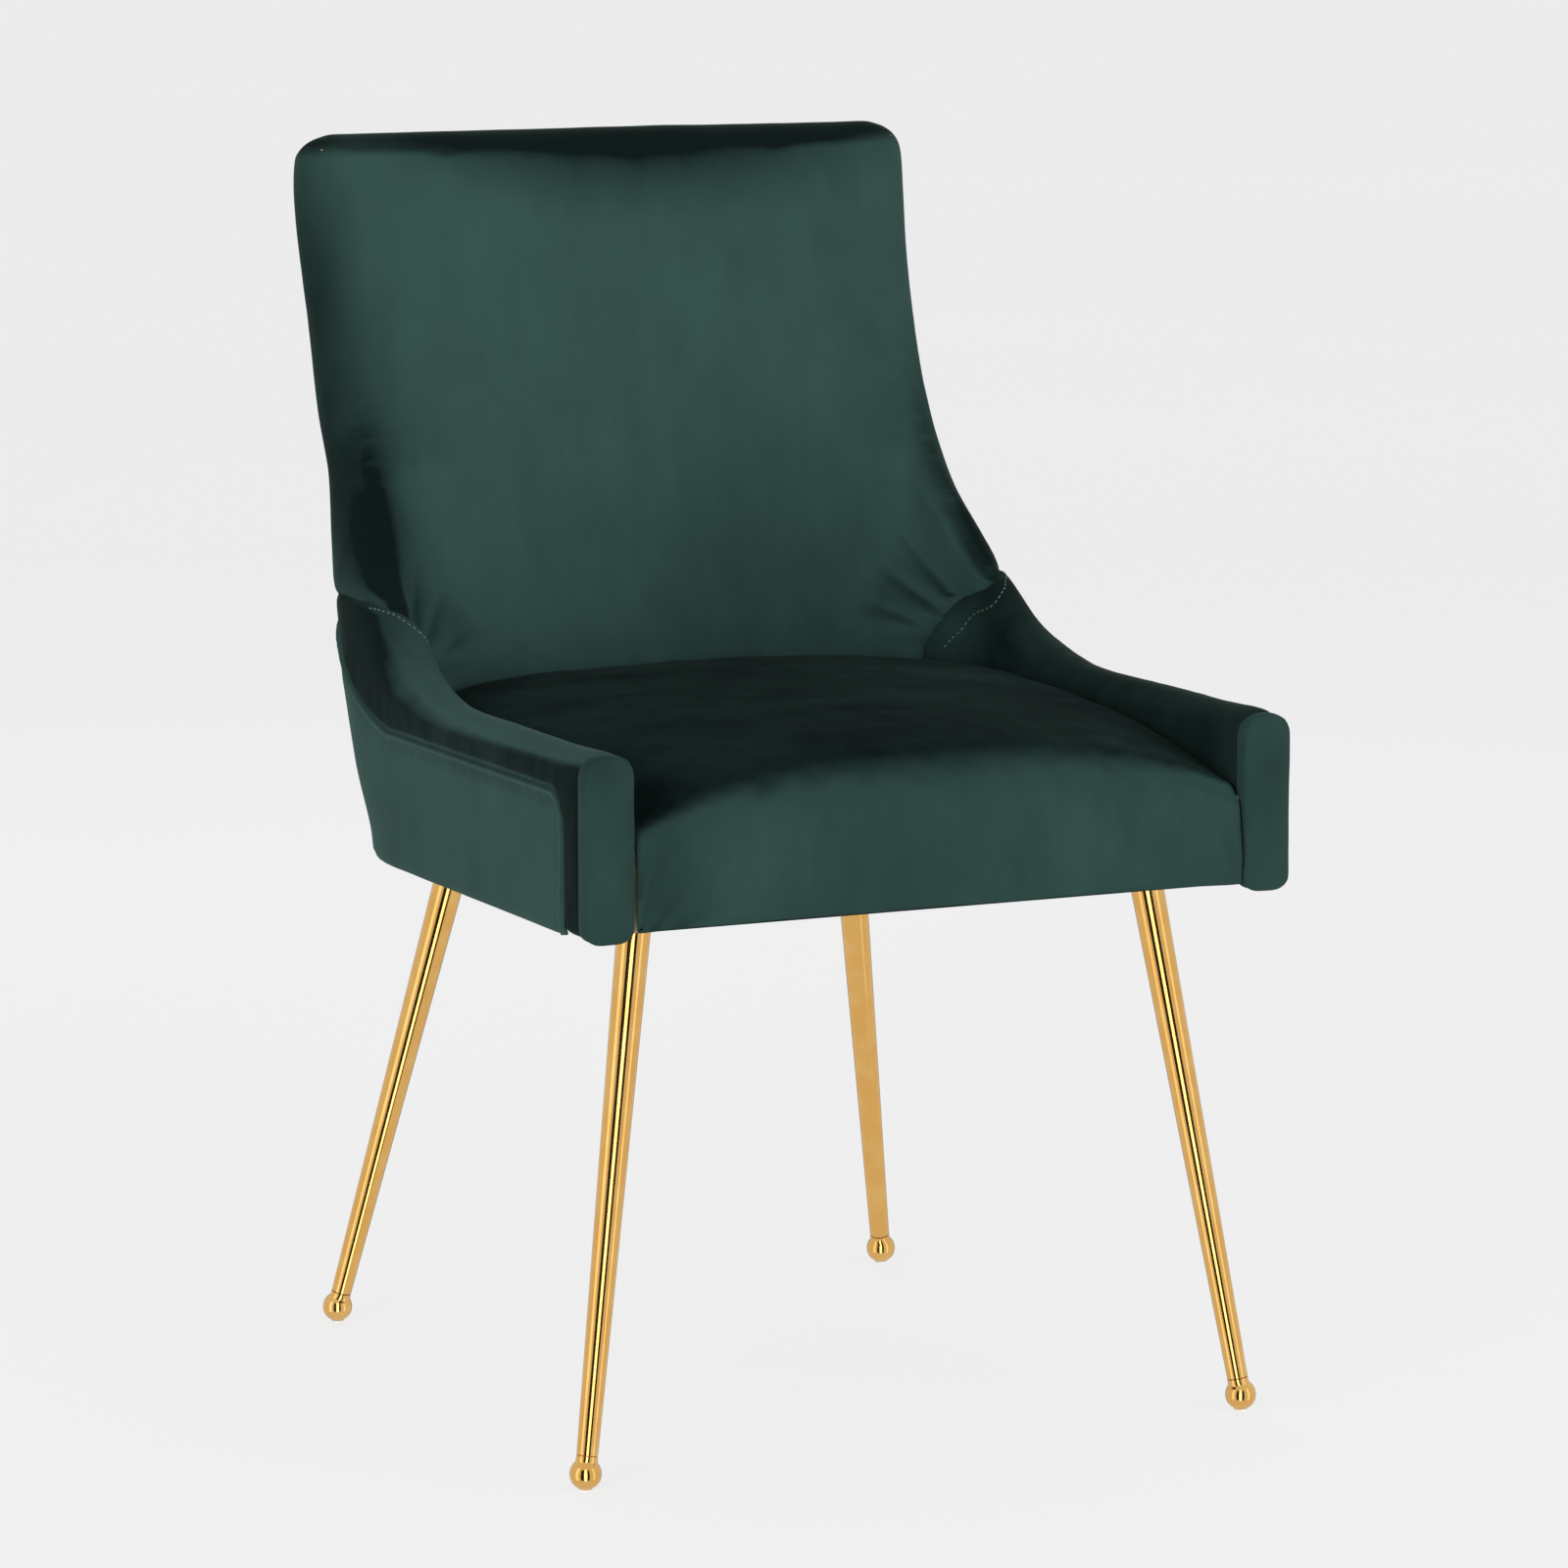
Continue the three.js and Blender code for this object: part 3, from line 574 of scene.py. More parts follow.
CREASES = [  # foot and head of each pull in the back's velvet (x, z), and its depth
    ((205, 520), (172, 590), 1.6), ((198, 505), (160, 545), 1.5), ((194, 492), (150, 512), 1.3),
    ((214, 528), (190, 610), 1.4), ((224, 536), (212, 640), 1.1), ((190, 478), (152, 486), 1.2),
]


def near_folds(q, folds):
    """For each fold, seen from the front: the share of the way along it, the distance from it, its depth."""
    for foot, head, deep in folds:
        start, end = Vector(foot) * MM, Vector(head) * MM
        along = (q - start).dot(end - start) / (end - start).length_squared
        yield along, (q - start.lerp(end, along)).length, deep


def crease_depth(p):
    """Creases that fan out from the seams into the back, shallower on the left."""
    depth = 0
    for along, off, deep in near_folds(Vector((abs(p.x), p.z)), CREASES):
        if -0.05 < along < 1.3:
            wave = 1 if p.x > 0 else 0.75
            depth += wave * deep * MM * bell(off, 4.5 * MM) * bell(max(along, 0) - 0.25, 0.5)
    return depth


POST = frame["nodes"]["back_post_right"].data.vertices
POST_CORNER = max((v.co for v in POST), key=lambda c: c.z + c.x - c.y).copy()


def back_rule(p, n):
    """How far each point of the back pad moves: tucked, full at the top corners, creased at the seams."""
    rise = tuck(p, n) + velvet_unevenness(p, 3, 0.7 * MM)
    corner = bell(half_width(p.z) - 7 * MM - abs(p.x), 13 * MM) * bell(HEIGHT - 7 * MM - p.z, 13 * MM)
    rise += 4.5 * MM * corner * (1 - abs(n.y))
    rise += 2.5 * MM * bell((Vector((abs(p.x), p.y, p.z)) - POST_CORNER).length, 16 * MM)
    if n.y < 0.2:
        rise -= crease_depth(p)
        far, _ = seam_distance(p)
        rise -= 1.5 * MM * bell(far, 5 * MM)
    return rise


ZONES = [arm_zone(1, -SEAM_LAP), arm_zone(-1, -SEAM_LAP)]
back_solid = cut_wall("back_wall", [("DIFFERENCE", zone) for zone in ZONES])
back = pad(back_solid, "back_pad_velvet", 3 * MM, 7, COARSE_VOXEL)
moved(back, back_rule)

# %% [markdown]
# ## The arm pads
#
# Each arm's velvet goes over the roll and down inside to the seat. Outside it ends under the side
# cover, and in front a short strip runs down between the facing and that cover.


# %% Build the arm pads
def arm_rule(side):
    def rule(p, n):
        rise = velvet_unevenness(p, 7 + side, 0.6 * MM)
        rise += tuck(p, n)
        far, _ = seam_distance(p)
        rise -= 1.0 * MM * bell(far, 4 * MM)
        pulls = ripple(Vector((p.y * 2.4, p.z * 0.8, 0)), 0.03, 9)
        near_lip = bell(inside_side_cover(p) + 12 * MM, 12 * MM) if outward(p, n) else 0
        return rise + 0.5 * MM * pulls * near_lip

    return rule


def arm(side, name):
    """An arm's part of the wall and roll, with the strip behind the facing, as a pad."""
    kept = cut_wall(name, [("INTERSECT", arm_zone(side, SEAM_LAP))])
    strip_in, strip_out = side * (HALF - WALL), side * HALF
    low = (min(strip_in, strip_out), FACING_BACK, BOTTOM + 1 * MM)
    high = (max(strip_in, strip_out), LIP_FRONT + 4 * MM, PAD_BOTTOM + 4 * MM)
    block(kept, low, high)
    piece = pad(kept, name, 2.2 * MM, 5)
    moved(piece, arm_rule(side))
    return piece


arms = [arm(1, "arm_pad_right_velvet"), arm(-1, "arm_pad_left_velvet")]
for zone in [o for o in bpy.data.objects if o.name.startswith("zone")]:
    bpy.data.objects.remove(zone)

# %% [markdown]
# ## The seat
#
# The seat is one crowned pad. Its velvet rolls over the front edge and runs down over the front rail as
# an apron. In side view that is an upside-down L, and many such profiles stand side by side across the
# seat: each is lower the nearer it is to an arm, and ends further forward near the rear corners.

# %% The profile of the seat
SEAT_HALF = HALF - WALL + 3 * MM
SEAT_REAR = rear_face(ARM_TOP) - back_wall(ARM_TOP) - 1.5 * MM
APRON = 8 * MM
FOLD = curve(
    (-1, 422), (-0.93, 437), (-0.8, 447), (-0.5, 455.5), (0, 459),
    (0.5, 454), (0.8, 444), (0.93, 436), (1, 422),
)
SIDE_LINE = curve(
    (-0.29, 427), (-0.245, 438), (-0.19, 450), (-0.11, 461), (-0.03, 466), (0.05, 467), (0.15, 463)
)
CROWN_LINE = curve((-0.27, 466), (-0.2, 473.5), (-0.1, 477.3), (0, 479), (0.07, 479.3), (0.15, 476))


def seat_rear(x):
    """The seat's rear edge follows the round inner corners of the back."""
    over = abs(x) - (HALF - WALL - INNER_CORNER)
    if over <= 0:
        return SEAT_REAR
    reach = INNER_CORNER - 1.5 * MM
    return SEAT_REAR - reach + math.sqrt(max(reach**2 - over**2, 0))


def seat_top(x, y):
    """Height of the seat's top: a crown line down the middle, falling to a lower line at the arms."""
    across = abs(x) / SEAT_HALF
    return SIDE_LINE(y) + (CROWN_LINE(y) - SIDE_LINE(y)) * (1 - across**2.4)


def seat_profile(x):
    """A closed loop in side view, from the apron's hem up the front, over the top and back below."""
    fold = FOLD(x / SEAT_HALF)
    rear = max(seat_rear(x), FRONT + 120 * MM)
    radius = (34 - 23 * abs(x / SEAT_HALF) ** 4) * MM
    hem = ((5, 0), (2.2, 2), (1.4, 8))  # its round lower edge: millimetres in and up
    front = [(FRONT + inward * MM, BOTTOM + above * MM) for inward, above in hem]
    knee = fold - radius
    bulge = []
    for t in (0.2, 0.35, 0.5, 0.65, 0.8, 0.92):
        y = FRONT + 1.2 * MM - 1.6 * MM * math.sin(math.pi * t)
        bulge.append((y, BOTTOM + (knee - BOTTOM) * t))
    start = FRONT + radius
    end_height = seat_top(x, start + 4 * MM)
    turn = []
    for k in range(1, 9):
        a = math.pi / 2 * k / 8
        turn.append((start - radius * math.cos(a), knee + (end_height - knee) * math.sin(a)))
    top = []
    for k in range(1, 25):
        y = start + 4 * MM + (rear - 8 * MM - start - 4 * MM) * k / 24
        top.append((y, seat_top(x, y)))
    last = top[-1][1]
    back_side = [(rear - 2 * MM, last - 4 * MM), (rear, last - 10 * MM), (rear, PAD_BOTTOM + 1 * MM)]
    under = [(rear + (FRONT + APRON - rear) * t, PAD_BOTTOM + 1 * MM) for t in (0.2, 0.4, 0.6, 0.8, 1)]
    inside = [(FRONT + APRON, BOTTOM + (PAD_BOTTOM - BOTTOM) * t) for t in (0.7, 0.4, 0.1, 0)]
    return [*front, *bulge, *turn, *top, *back_side, *under, *inside]


def seat_solid():
    """Profiles side by side across the seat, closest together at the arms."""
    bm = bmesh.new()
    shares = [math.sin(math.pi / 2 * k / 24) for k in range(-24, 25)]
    rings = []
    for share in shares:
        x = SEAT_HALF * share
        rings.append([Vector((x, y, z)) for y, z in seat_profile(x)])
    loft(bm, rings)
    return bm


# %% Build the seat
SEAT_FOLDS = [  # folds in the apron beside the arms: foot and head (x, z), and depth
    ((-214, 372), (-200, 428), 3.2), ((-208, 364), (-180, 402), 2.6), ((-219, 395), (-206, 440), 2.2),
    ((-200, 362), (-150, 384), 1.6), ((214, 376), (205, 428), 1.6), ((214, 428), (180, 441), 1.8),
]


def fold_depth(p):
    """Folds in the apron, deepest at the foot and fading past the head."""
    depth = 0
    for along, off, deep in near_folds(Vector((p.x, p.z)), SEAT_FOLDS):
        if -0.1 < along < 1.5:
            depth += deep * MM * bell(off, 4 * MM) * bell(max(along - 0.3, 0), 0.5)
    return depth


def seat_rule(p, n):
    """Unevenness all over, folds in the apron, and shallow waves across the top."""
    rise = velvet_unevenness(p, 11, 0.9 * MM)
    if n.y < -0.3:
        rise -= fold_depth(p)
        rise += 0.8 * MM * bell(p.x - 0.06, 0.06) * bell(p.z - 0.4, 0.03)
    if n.z > 0.4 and p.z > PAD_BOTTOM:
        rise += 0.6 * MM * ripple(Vector((p.x * 0.5, p.y * 1.6, 0)), 0.045, 15)
    return rise


seat = pad(seat_solid(), "seat_cushion_velvet", 3 * MM, 3, COARSE_VOXEL)
moved(seat, seat_rule)

# %% [markdown]
# ## The side covers
#
# Each side cover is a flat panel of velvet over thin wadding, drawn tight over the frame. Its border is
# turned in over a flexible strip and hammered down, which leaves a raised, uneven lip. A grid is bent
# onto the shell's outside: its columns follow the wall round the rear corner, its rows run from the hem
# up to the lip, and both are closer together at the border, where the lip needs them.


# %% The outside of the shell as a map
OUTSIDE = {}


def outside_line(z):
    """The right half of the outside from the rear's middle to the front, with running lengths."""
    key = round(z / MM, 2)
    if key not in OUTSIDE:
        points = [Vector(p) for p in reversed(outside_half(z, FRONT))]
        lengths = [0]
        for a, b in zip(points, points[1:]):
            lengths.append(lengths[-1] + (b - a).length)
        OUTSIDE[key] = points, lengths
    return OUTSIDE[key]


def outside_point(z, along):
    """The point and outward direction at a distance from the rear's middle."""
    points, lengths = outside_line(z)
    i = next((k for k, far in enumerate(lengths) if far > along), len(points) - 1)
    i = max(i, 1)
    a, b = points[i - 1], points[i]
    spot = a.lerp(b, min(max((along - lengths[i - 1]) / (lengths[i] - lengths[i - 1]), 0), 1))
    ahead = (b - a).normalized()
    return spot, Vector((-ahead.y, ahead.x))


def length_where(z, test):
    """The distance from the rear's middle at which test(point) first becomes true."""
    points, lengths = outside_line(z)
    for a, b, far, near in zip(points, points[1:], lengths, lengths[1:]):
        if test(b) >= 0:
            t = (0 - test(a)) / (test(b) - test(a)) if test(b) != test(a) else 0
            return far + (near - far) * max(t, 0)
    return lengths[-1]


def lip(distance, along):
    """The raised border: a bead a few millimetres in from the edge, puckered along its length."""
    pucker = 1 + 0.3 * noise.noise(Vector((along * 60, 3, 0)))
    pucker += 0.12 * noise.noise(Vector((along * 260, 7, 0)))
    bead = 2.0 * MM * bell(distance - 2.2 * MM, 2 * MM) * pucker
    turned = -2.6 * MM * (1 - step_between(0, 1.6 * MM, distance))
    uneven = 1 + 0.8 * noise.noise(Vector((along * 110, 5, 0)))
    dip = -0.9 * MM * bell(distance - 7.5 * MM, 3 * MM) * uneven
    return bead + turned + dip


def side_cover(side, name):
    """A grid laid onto the shell's outside, between the hem, the lip and the rear seam."""
    columns, rows = 230, 90
    bm = bmesh.new()
    bmesh.ops.create_grid(bm, x_segments=columns, y_segments=rows, size=0.5)
    border = bm.verts.layers.float.new("border")
    hem = BOTTOM
    for v in bm.verts:
        u, w = v.co.x + 0.5, v.co.y + 0.5
        u, w = u**1.35, 1 - (1 - w) ** 1.9  # closer together at the front and the lip
        z = hem + (LIP_LEVEL - hem) * w
        for _ in range(6):  # the lip's height depends on the place along it, so a few rounds settle both
            front = length_where(z, lambda p: LIP_FRONT - p.y)
            rear = length_where(z, lambda p: p.x - rear_seam(z) - 1 * MM)
            along = front + (rear - front) * u
            spot, out = outside_point(z, along)
            z = hem + (lip_at(spot.y) - hem) * w
        off = min((lip_at(spot.y) - z) * 0.93, spot.y - LIP_FRONT)
        run = spot.y if spot.y > LIP_FRONT + LIP_CORNER else LIP_FRONT + LIP_CORNER - (LIP_LEVEL - z)
        lift = 0.4 * MM + lip(off, run)
        lift += velvet_unevenness(Vector((spot.x, spot.y, z)), 21, 0.7 * MM) * step_between(0, 30 * MM, off)
        lift -= 2 * MM * (1 - step_between(0, 5 * MM, z - hem))
        lift -= 2 * MM * (1 - step_between(0, 4 * MM, along - rear))
        v.co = Vector((side * (spot.x + out.x * lift), spot.y + out.y * lift, z))
        # The border attribute holds a painted highlight: a thin, uneven light line along the lip.
        v[border] = bell(off - 2 * MM, 1 * MM) * (0.7 + 0.6 * noise.noise(Vector((run * 70, 9, 0))))
    bmesh.ops.recalc_face_normals(bm, faces=bm.faces)
    bm.faces.ensure_lookup_table()
    if bm.faces[len(bm.faces) // 2].normal.x * side < 0:
        bmesh.ops.reverse_faces(bm, faces=bm.faces)
    piece = as_object(bm, name + "_velvet")
    changed(piece, "SOLIDIFY", thickness=COVER_THICKNESS, offset=-1)
    print(name, len(piece.data.polygons), "faces")
    return piece


sides = [side_cover(1, "outer_side_right"), side_cover(-1, "outer_side_left")]

# %% [markdown]
# ## The rear cover
#
# The rear cover closes the back. It is a plain panel between two straight side seams, sewn by hand along
# the sides and the top, so its edge is a fine rounded fold rather than a puckered lip.


# %% Build the rear cover
def rear_cover():
    """A grid laid onto the shell's rear, with round top corners and an edge that is turned in."""
    columns, rows = 110, 150
    bm = bmesh.new()
    bmesh.ops.create_grid(bm, x_segments=columns, y_segments=rows, size=0.5)
    corner = 22 * MM
    for v in bm.verts:
        u, w = v.co.x * 2, v.co.y + 0.5
        z = BOTTOM + (BACK_TOP - BOTTOM) * (1 - (1 - w) ** 1.3)
        half = length_where(z, lambda p: p.x - rear_seam(z))
        drop = max(z - (BACK_TOP - corner), 0)
        half -= corner - math.sqrt(max(corner**2 - drop**2, 0))
        spot, out = outside_point(z, half * abs(math.sin(u * math.pi / 2)))
        edge = min(half * (1 - abs(math.sin(u * math.pi / 2))), BACK_TOP - z)
        lift = 1.1 * MM * bell(edge - 2.5 * MM, 2.5 * MM) - 2.6 * MM * (1 - step_between(0, 1.8 * MM, edge))
        lift += velvet_unevenness(Vector((u, w, 0)) * 0.4, 31, 0.8 * MM) * step_between(0, 30 * MM, edge)
        lift -= 2 * MM * (1 - step_between(0, 5 * MM, z - BOTTOM))
        sign = math.copysign(1, u)
        v.co = Vector((sign * (spot.x + out.x * lift), spot.y + out.y * lift + 0.4 * MM, z))
    bmesh.ops.recalc_face_normals(bm, faces=bm.faces)
    bm.faces.ensure_lookup_table()
    if bm.faces[len(bm.faces) // 2].normal.y < 0:
        bmesh.ops.reverse_faces(bm, faces=bm.faces)
    piece = as_object(bm, "outside_back_velvet")
    changed(piece, "SOLIDIFY", thickness=COVER_THICKNESS, offset=-1)
    print(piece.name, len(piece.data.polygons), "faces")
    return piece


rear = rear_cover()

# %% [markdown]
# ## The facings
#
# A facing is a thin padded board, covered apart and pressed onto the front of the arm last. Its rim
# stands a little proud of the arm's roll, and catches a thin line of light. An outline with round top
# corners is filled and extruded. A fine voxel remesh and smoothing round its edges, and a rule pillows
# its front.


# %% Build the facings
def facing(side, name):
    """A board with round top corners, thick enough to reach the arm's end, with a pillowed front."""
    low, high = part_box(name)
    round_top, round_low = 15 * MM, 8 * MM
    grow = 2.5 * MM  # how far the wadding stands out past the board, mostly on the outside
    x0, x1, z0, z1 = low.x, high.x, low.z, high.z + (4 if side < 0 else 1.5) * MM
    x0, x1 = (x0 - grow / 3, x1 + grow) if side > 0 else (x0 - grow, x1 + grow / 3)
    outline = arc(x1 - round_top, z1 - round_top, round_top, 0, 90, 8)
    outline += arc(x0 + round_top, z1 - round_top, round_top, 90, 180, 8)
    outline += arc(x0 + round_low, z0 + round_low, round_low, 180, 270, 4)
    outline += arc(x1 - round_low, z0 + round_low, round_low, 270, 360, 4)
    bm = bmesh.new()
    ring = [bm.verts.new((x, low.y, z)) for x, z in outline]
    face = bm.faces.new(ring)
    made = bmesh.ops.extrude_face_region(bm, geom=[face])["geom"]
    front = [v for v in made if isinstance(v, bmesh.types.BMVert)]
    bmesh.ops.translate(bm, verts=front, vec=(0, high.y - low.y + 9 * MM, 0))
    bmesh.ops.recalc_face_normals(bm, faces=bm.faces)
    piece = as_object(bm, name + "_velvet")
    changed(piece, "REMESH", mode="VOXEL", voxel_size=1.6 * MM)
    smooth(piece, 14)
    changed(piece, "SUBSURF", levels=1, render_levels=1)

    def rule(p, n):
        if n.y > -0.2:
            return 0
        edge = min(p.x - x0, x1 - p.x, z1 - p.z)
        pillow = 1.6 * MM * step_between(0, 14 * MM, edge)
        return pillow + 0.5 * MM * ripple(p, 0.022, 41 + side)

    moved(piece, rule)
    print(name, len(piece.data.polygons), "faces")
    return piece


facings = [facing(1, "arm_facing_right"), facing(-1, "arm_facing_left")]

# %% [markdown]
# ## Legs and ball feet
#
# The legs are drawn steel tubes that taper towards the floor, and each ends in a turned ball with a
# small hollow neck and a flat for its glide. Both are shapes of revolution, so a profile is spun round
# the leg's own axis. Polished metal shows every facet, so the spin has many steps.


# %% Axes of the legs, measured on the design
def ring_middle(node, low, high):
    """The middle of a node's vertices between two heights."""
    points = [v.co for v in frame["nodes"][node].data.vertices if low <= v.co.z <= high]
    xs, ys = [p.x for p in points], [p.y for p in points]
    height = sum(p.z for p in points) / len(points)
    return Vector(((min(xs) + max(xs)) / 2, (min(ys) + max(ys)) / 2, height))


BALL = 10.4 * MM  # radii of the ball, and of the leg's two ends
LEG_END = 7 * MM
LEG_TOP = 11.3 * MM
LEG_START = BALL + 1.5 * MM
NECK = 2.2 * MM
GLIDE_GAP = 0.3 * MM


def leg_axis(place):
    """The ball's centre, the direction up the leg, the tube's length and the height of its top."""
    low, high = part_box(f"glide_{place}")
    flat = (high.x - low.x) / 2
    height = high.z + GLIDE_GAP + math.sqrt(BALL**2 - flat**2)
    ball = Vector(((low.x + high.x) / 2, (low.y + high.y) / 2, height))
    leg_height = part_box(f"leg_{place}")[1].z
    top = ring_middle(f"leg_{place}", leg_height - 0.1 * MM, leg_height + 0.1 * MM)
    return ball, (top - ball).normalized(), (top - ball).length, leg_height


def spun(profile, origin, axis, steps=72):
    """Spins (radius, distance) pairs round an axis, closed on the axis at both ends."""
    bm = bmesh.new()
    points = [bm.verts.new((r, 0, d)) for r, d in profile]
    edges = [bm.edges.new(pair) for pair in zip(points, points[1:])]
    bmesh.ops.spin(
        bm, geom=[*points, *edges], cent=(0, 0, 0), axis=(0, 0, 1), angle=2 * math.pi,
        steps=steps, use_merge=True, use_duplicate=False,
    )
    bmesh.ops.remove_doubles(bm, verts=bm.verts, dist=1e-6)
    bmesh.ops.recalc_face_normals(bm, faces=bm.faces)
    turn = Vector((0, 0, 1)).rotation_difference(axis).to_matrix().to_4x4()
    bmesh.ops.transform(bm, matrix=Matrix.Translation(origin) @ turn, verts=bm.verts)
    return bm


def cut_level(bm, height, way):
    """Cuts off what is above (way 1) or below (way -1) a height, and closes the cut."""
    geometry = [*bm.verts, *bm.edges, *bm.faces]
    plane = {"plane_co": (0, 0, height), "plane_no": (0, 0, way)}
    bmesh.ops.bisect_plane(bm, geom=geometry, clear_outer=True, **plane)
    bmesh.ops.contextual_create(bm, geom=[e for e in bm.edges if e.is_boundary])


def leg(place):
    """A tapering tube, longer than needed at first and then cut level with the design's."""
    ball, axis, length, top = leg_axis(place)
    end = length + 12 * MM
    profile = [(0, LEG_START), (LEG_END - 0.4 * MM, LEG_START), (LEG_END, LEG_START + 0.4 * MM)]
    for t in (0.25, 0.5, 0.75, 1):
        profile.append((LEG_END + (LEG_TOP - LEG_END) * t, LEG_START + (end - LEG_START) * t))
    profile.append((0, end))
    bm = spun(profile, ball, axis)
    cut_level(bm, top, 1)
    return as_object(bm, f"leg_{place}_polished")


def ball_foot(place):
    """A ball with a small hollow neck, cut flat where the glide is."""
    ball, axis, _, _ = leg_axis(place)
    neck_angle = math.asin((LEG_END + NECK * 0.35) / BALL)
    turns = [math.pi - (math.pi - neck_angle) * k / 26 for k in range(27)]
    profile = [(BALL * math.sin(a), BALL * math.cos(a)) for a in turns]
    radius, start = profile[-1]
    neck_end = LEG_START - 0.3 * MM
    for k in range(1, 5):
        a = k / 4 * math.pi / 2
        out, up_leg = math.sin(a), 1 - math.cos(a)
        profile.append((radius + (LEG_END - radius) * out, start + (neck_end - start) * up_leg))
    profile.append((0, neck_end))
    profile[0] = (0, -BALL)
    bm = spun(profile, ball, axis)
    cut_level(bm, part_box(f"glide_{place}")[1].z + GLIDE_GAP, -1)
    return as_object(bm, f"ball_foot_{place}_polished")


PLACES = [f"{end}_{side}" for end in ("front", "rear") for side in ("left", "right")]
legs = [leg(place) for place in PLACES]
balls = [ball_foot(place) for place in PLACES]
print("legs", len(legs), "with", sum(len(o.data.polygons) for o in [*legs, *balls]), "faces")

# %% [markdown]
# ## The dust cover
#
# Thin black cloth is stapled under the seat to hide the frame. It is a flat sheet with its edge turned
# in, and it hangs very slightly between the staples. Its outline and height come from the design.


# %% Build the dust cover
def dust_cover():
    """The cloth under the seat, with its flat size and its area before it gets its thickness."""
    low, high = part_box("dust_cover")
    inset = 14 * MM
    high.y = min(high.y, rear_face(BOTTOM) - BOW - inset - MM)
    points, _ = outside_line(BOTTOM)
    bm = bmesh.new()
    bmesh.ops.create_grid(bm, x_segments=96, y_segments=96, size=0.5)
    for v in bm.verts:
        y = low.y + (high.y - low.y) * (v.co.y + 0.5)
        limit = high.x
        for a, b in zip(points, points[1:]):
            if min(a.y, b.y) <= y + inset <= max(a.y, b.y) and a.y != b.y:
                limit = min(limit, a.lerp(b, (y + inset - a.y) / (b.y - a.y)).x - inset)
        x = 2 * v.co.x * max(limit, 40 * MM)
        edge = min(y - low.y, high.y - y, max(limit, 40 * MM) - abs(x))
        sag = -1.0 * MM * step_between(0, 60 * MM, edge) + 0.5 * MM * ripple(Vector((x, y, 0)), 0.04, 51)
        fold = 0.4 * MM * bell(edge - 8 * MM, 2 * MM)
        v.co = Vector((x, y, (low.z + high.z) / 2 + sag * step_between(0, 20 * MM, edge) + fold))
    piece = as_object(bm, "dust_cover_cloth")
    flat = (high.x - low.x, high.y - low.y)
    area = sum(f.area for f in piece.data.polygons)
    changed(piece, "SOLIDIFY", thickness=0.8 * MM, offset=0)
    return piece, flat, area


dust, DUST_FLAT, DUST_AREA = dust_cover()
print("dust cover", [round(v, 3) for v in DUST_FLAT], "m, area", round(DUST_AREA, 4), "m2")

# %% [markdown]
# ## Topstitching
#
# A row of stitches runs along the arm side of each seam, a few millimetres from it. The thread is a
# shade lighter than the velvet, so it reads as a fine dashed line. Each stitch is a short capsule, laid
# on the surface of the finished pad.


# %% Build the stitches
STITCH_OFFSET = 4.2 * MM
STITCH_SIDE = Vector((0.62, -0.78))  # from the seam towards the arm, in front view
STITCHED_FROM = 0.484  # the height at which the seam comes out from behind the seat


def stitches(side, name, on):
    """A row of capsules on a pad, along the seam where it shows from the front."""
    tree = BVHTree.FromObject(on, bpy.context.evaluated_depsgraph_get())
    line = [p + STITCH_OFFSET * STITCH_SIDE for p in SEAM if p.y > STITCHED_FROM]
    path = []
    for p in line:
        hit, _, _, _ = tree.ray_cast(Vector((side * p.x, -0.3, p.y)), Vector((0, 1, 0)))
        if hit is not None and hit.y > 0.02:  # what lies further forward is the top of the arm
            path.append(hit)
    bm = bmesh.new()
    pitch, length, radius = 4.6 * MM, 3.1 * MM, 0.42 * MM
    travelled = 0
    for a, b in zip(path, path[1:]):
        span = (b - a).length
        while travelled < span:
            spot = a.lerp(b, travelled / span)
            near, normal, _, _ = tree.find_nearest(spot)
            ahead = (b - a).normalized()
            made = bmesh.ops.create_uvsphere(bm, u_segments=8, v_segments=5, radius=1)["verts"]
            turn = Vector((0, 0, 1)).rotation_difference(ahead).to_matrix().to_4x4()
            size = Matrix.Diagonal((radius, radius, length / 2, 1))
            place = Matrix.Translation(near + normal * 0.25 * MM)  # half sunk in the pile
            bmesh.ops.transform(bm, matrix=place @ turn @ size, verts=made)
            travelled += pitch
        travelled -= span
    print(name, len(bm.verts) // len(made), "stitches")
    return as_object(bm, name)


threads = [stitches(1, "stitching_right", arms[0]), stitches(-1, "stitching_left", arms[1])]

# %% [markdown]
# ## Writing materials as expressions
#
# A material is a small graph of nodes. Written as Python expressions it stays readable: arithmetic on a
# value adds a Math node, and one method adds any other node from its type, settings and inputs.


# %% A small language for shader maths
class Value:
    """A number that varies over a surface: a socket with Python's arithmetic."""

    def __init__(self, shader, socket):
        self.shader = shader
        self.socket = socket

    def maths(self, operation, *others):
        inputs = dict(enumerate((self, *others)))
        return self.shader.node("ShaderNodeMath", {"operation": operation}, inputs)

    def __add__(self, other):
        return self.maths("ADD", other)

    def __sub__(self, other):
        return self.maths("SUBTRACT", other)

    def __mul__(self, other):
        return self.maths("MULTIPLY", other)

    def __rsub__(self, other):
        return (self * -1) + other

    __radd__ = __add__
    __rmul__ = __mul__

    def clamped(self):
        return self.shader.node("ShaderNodeClamp", {}, {"Value": self})

    def ranged(self, low, high):
        """0 at low, 1 at high, and smooth between."""
        inputs = {"Value": self, "From Min": low, "From Max": high}
        return self.shader.node("ShaderNodeMapRange", {"interpolation_type": "SMOOTHSTEP"}, inputs)


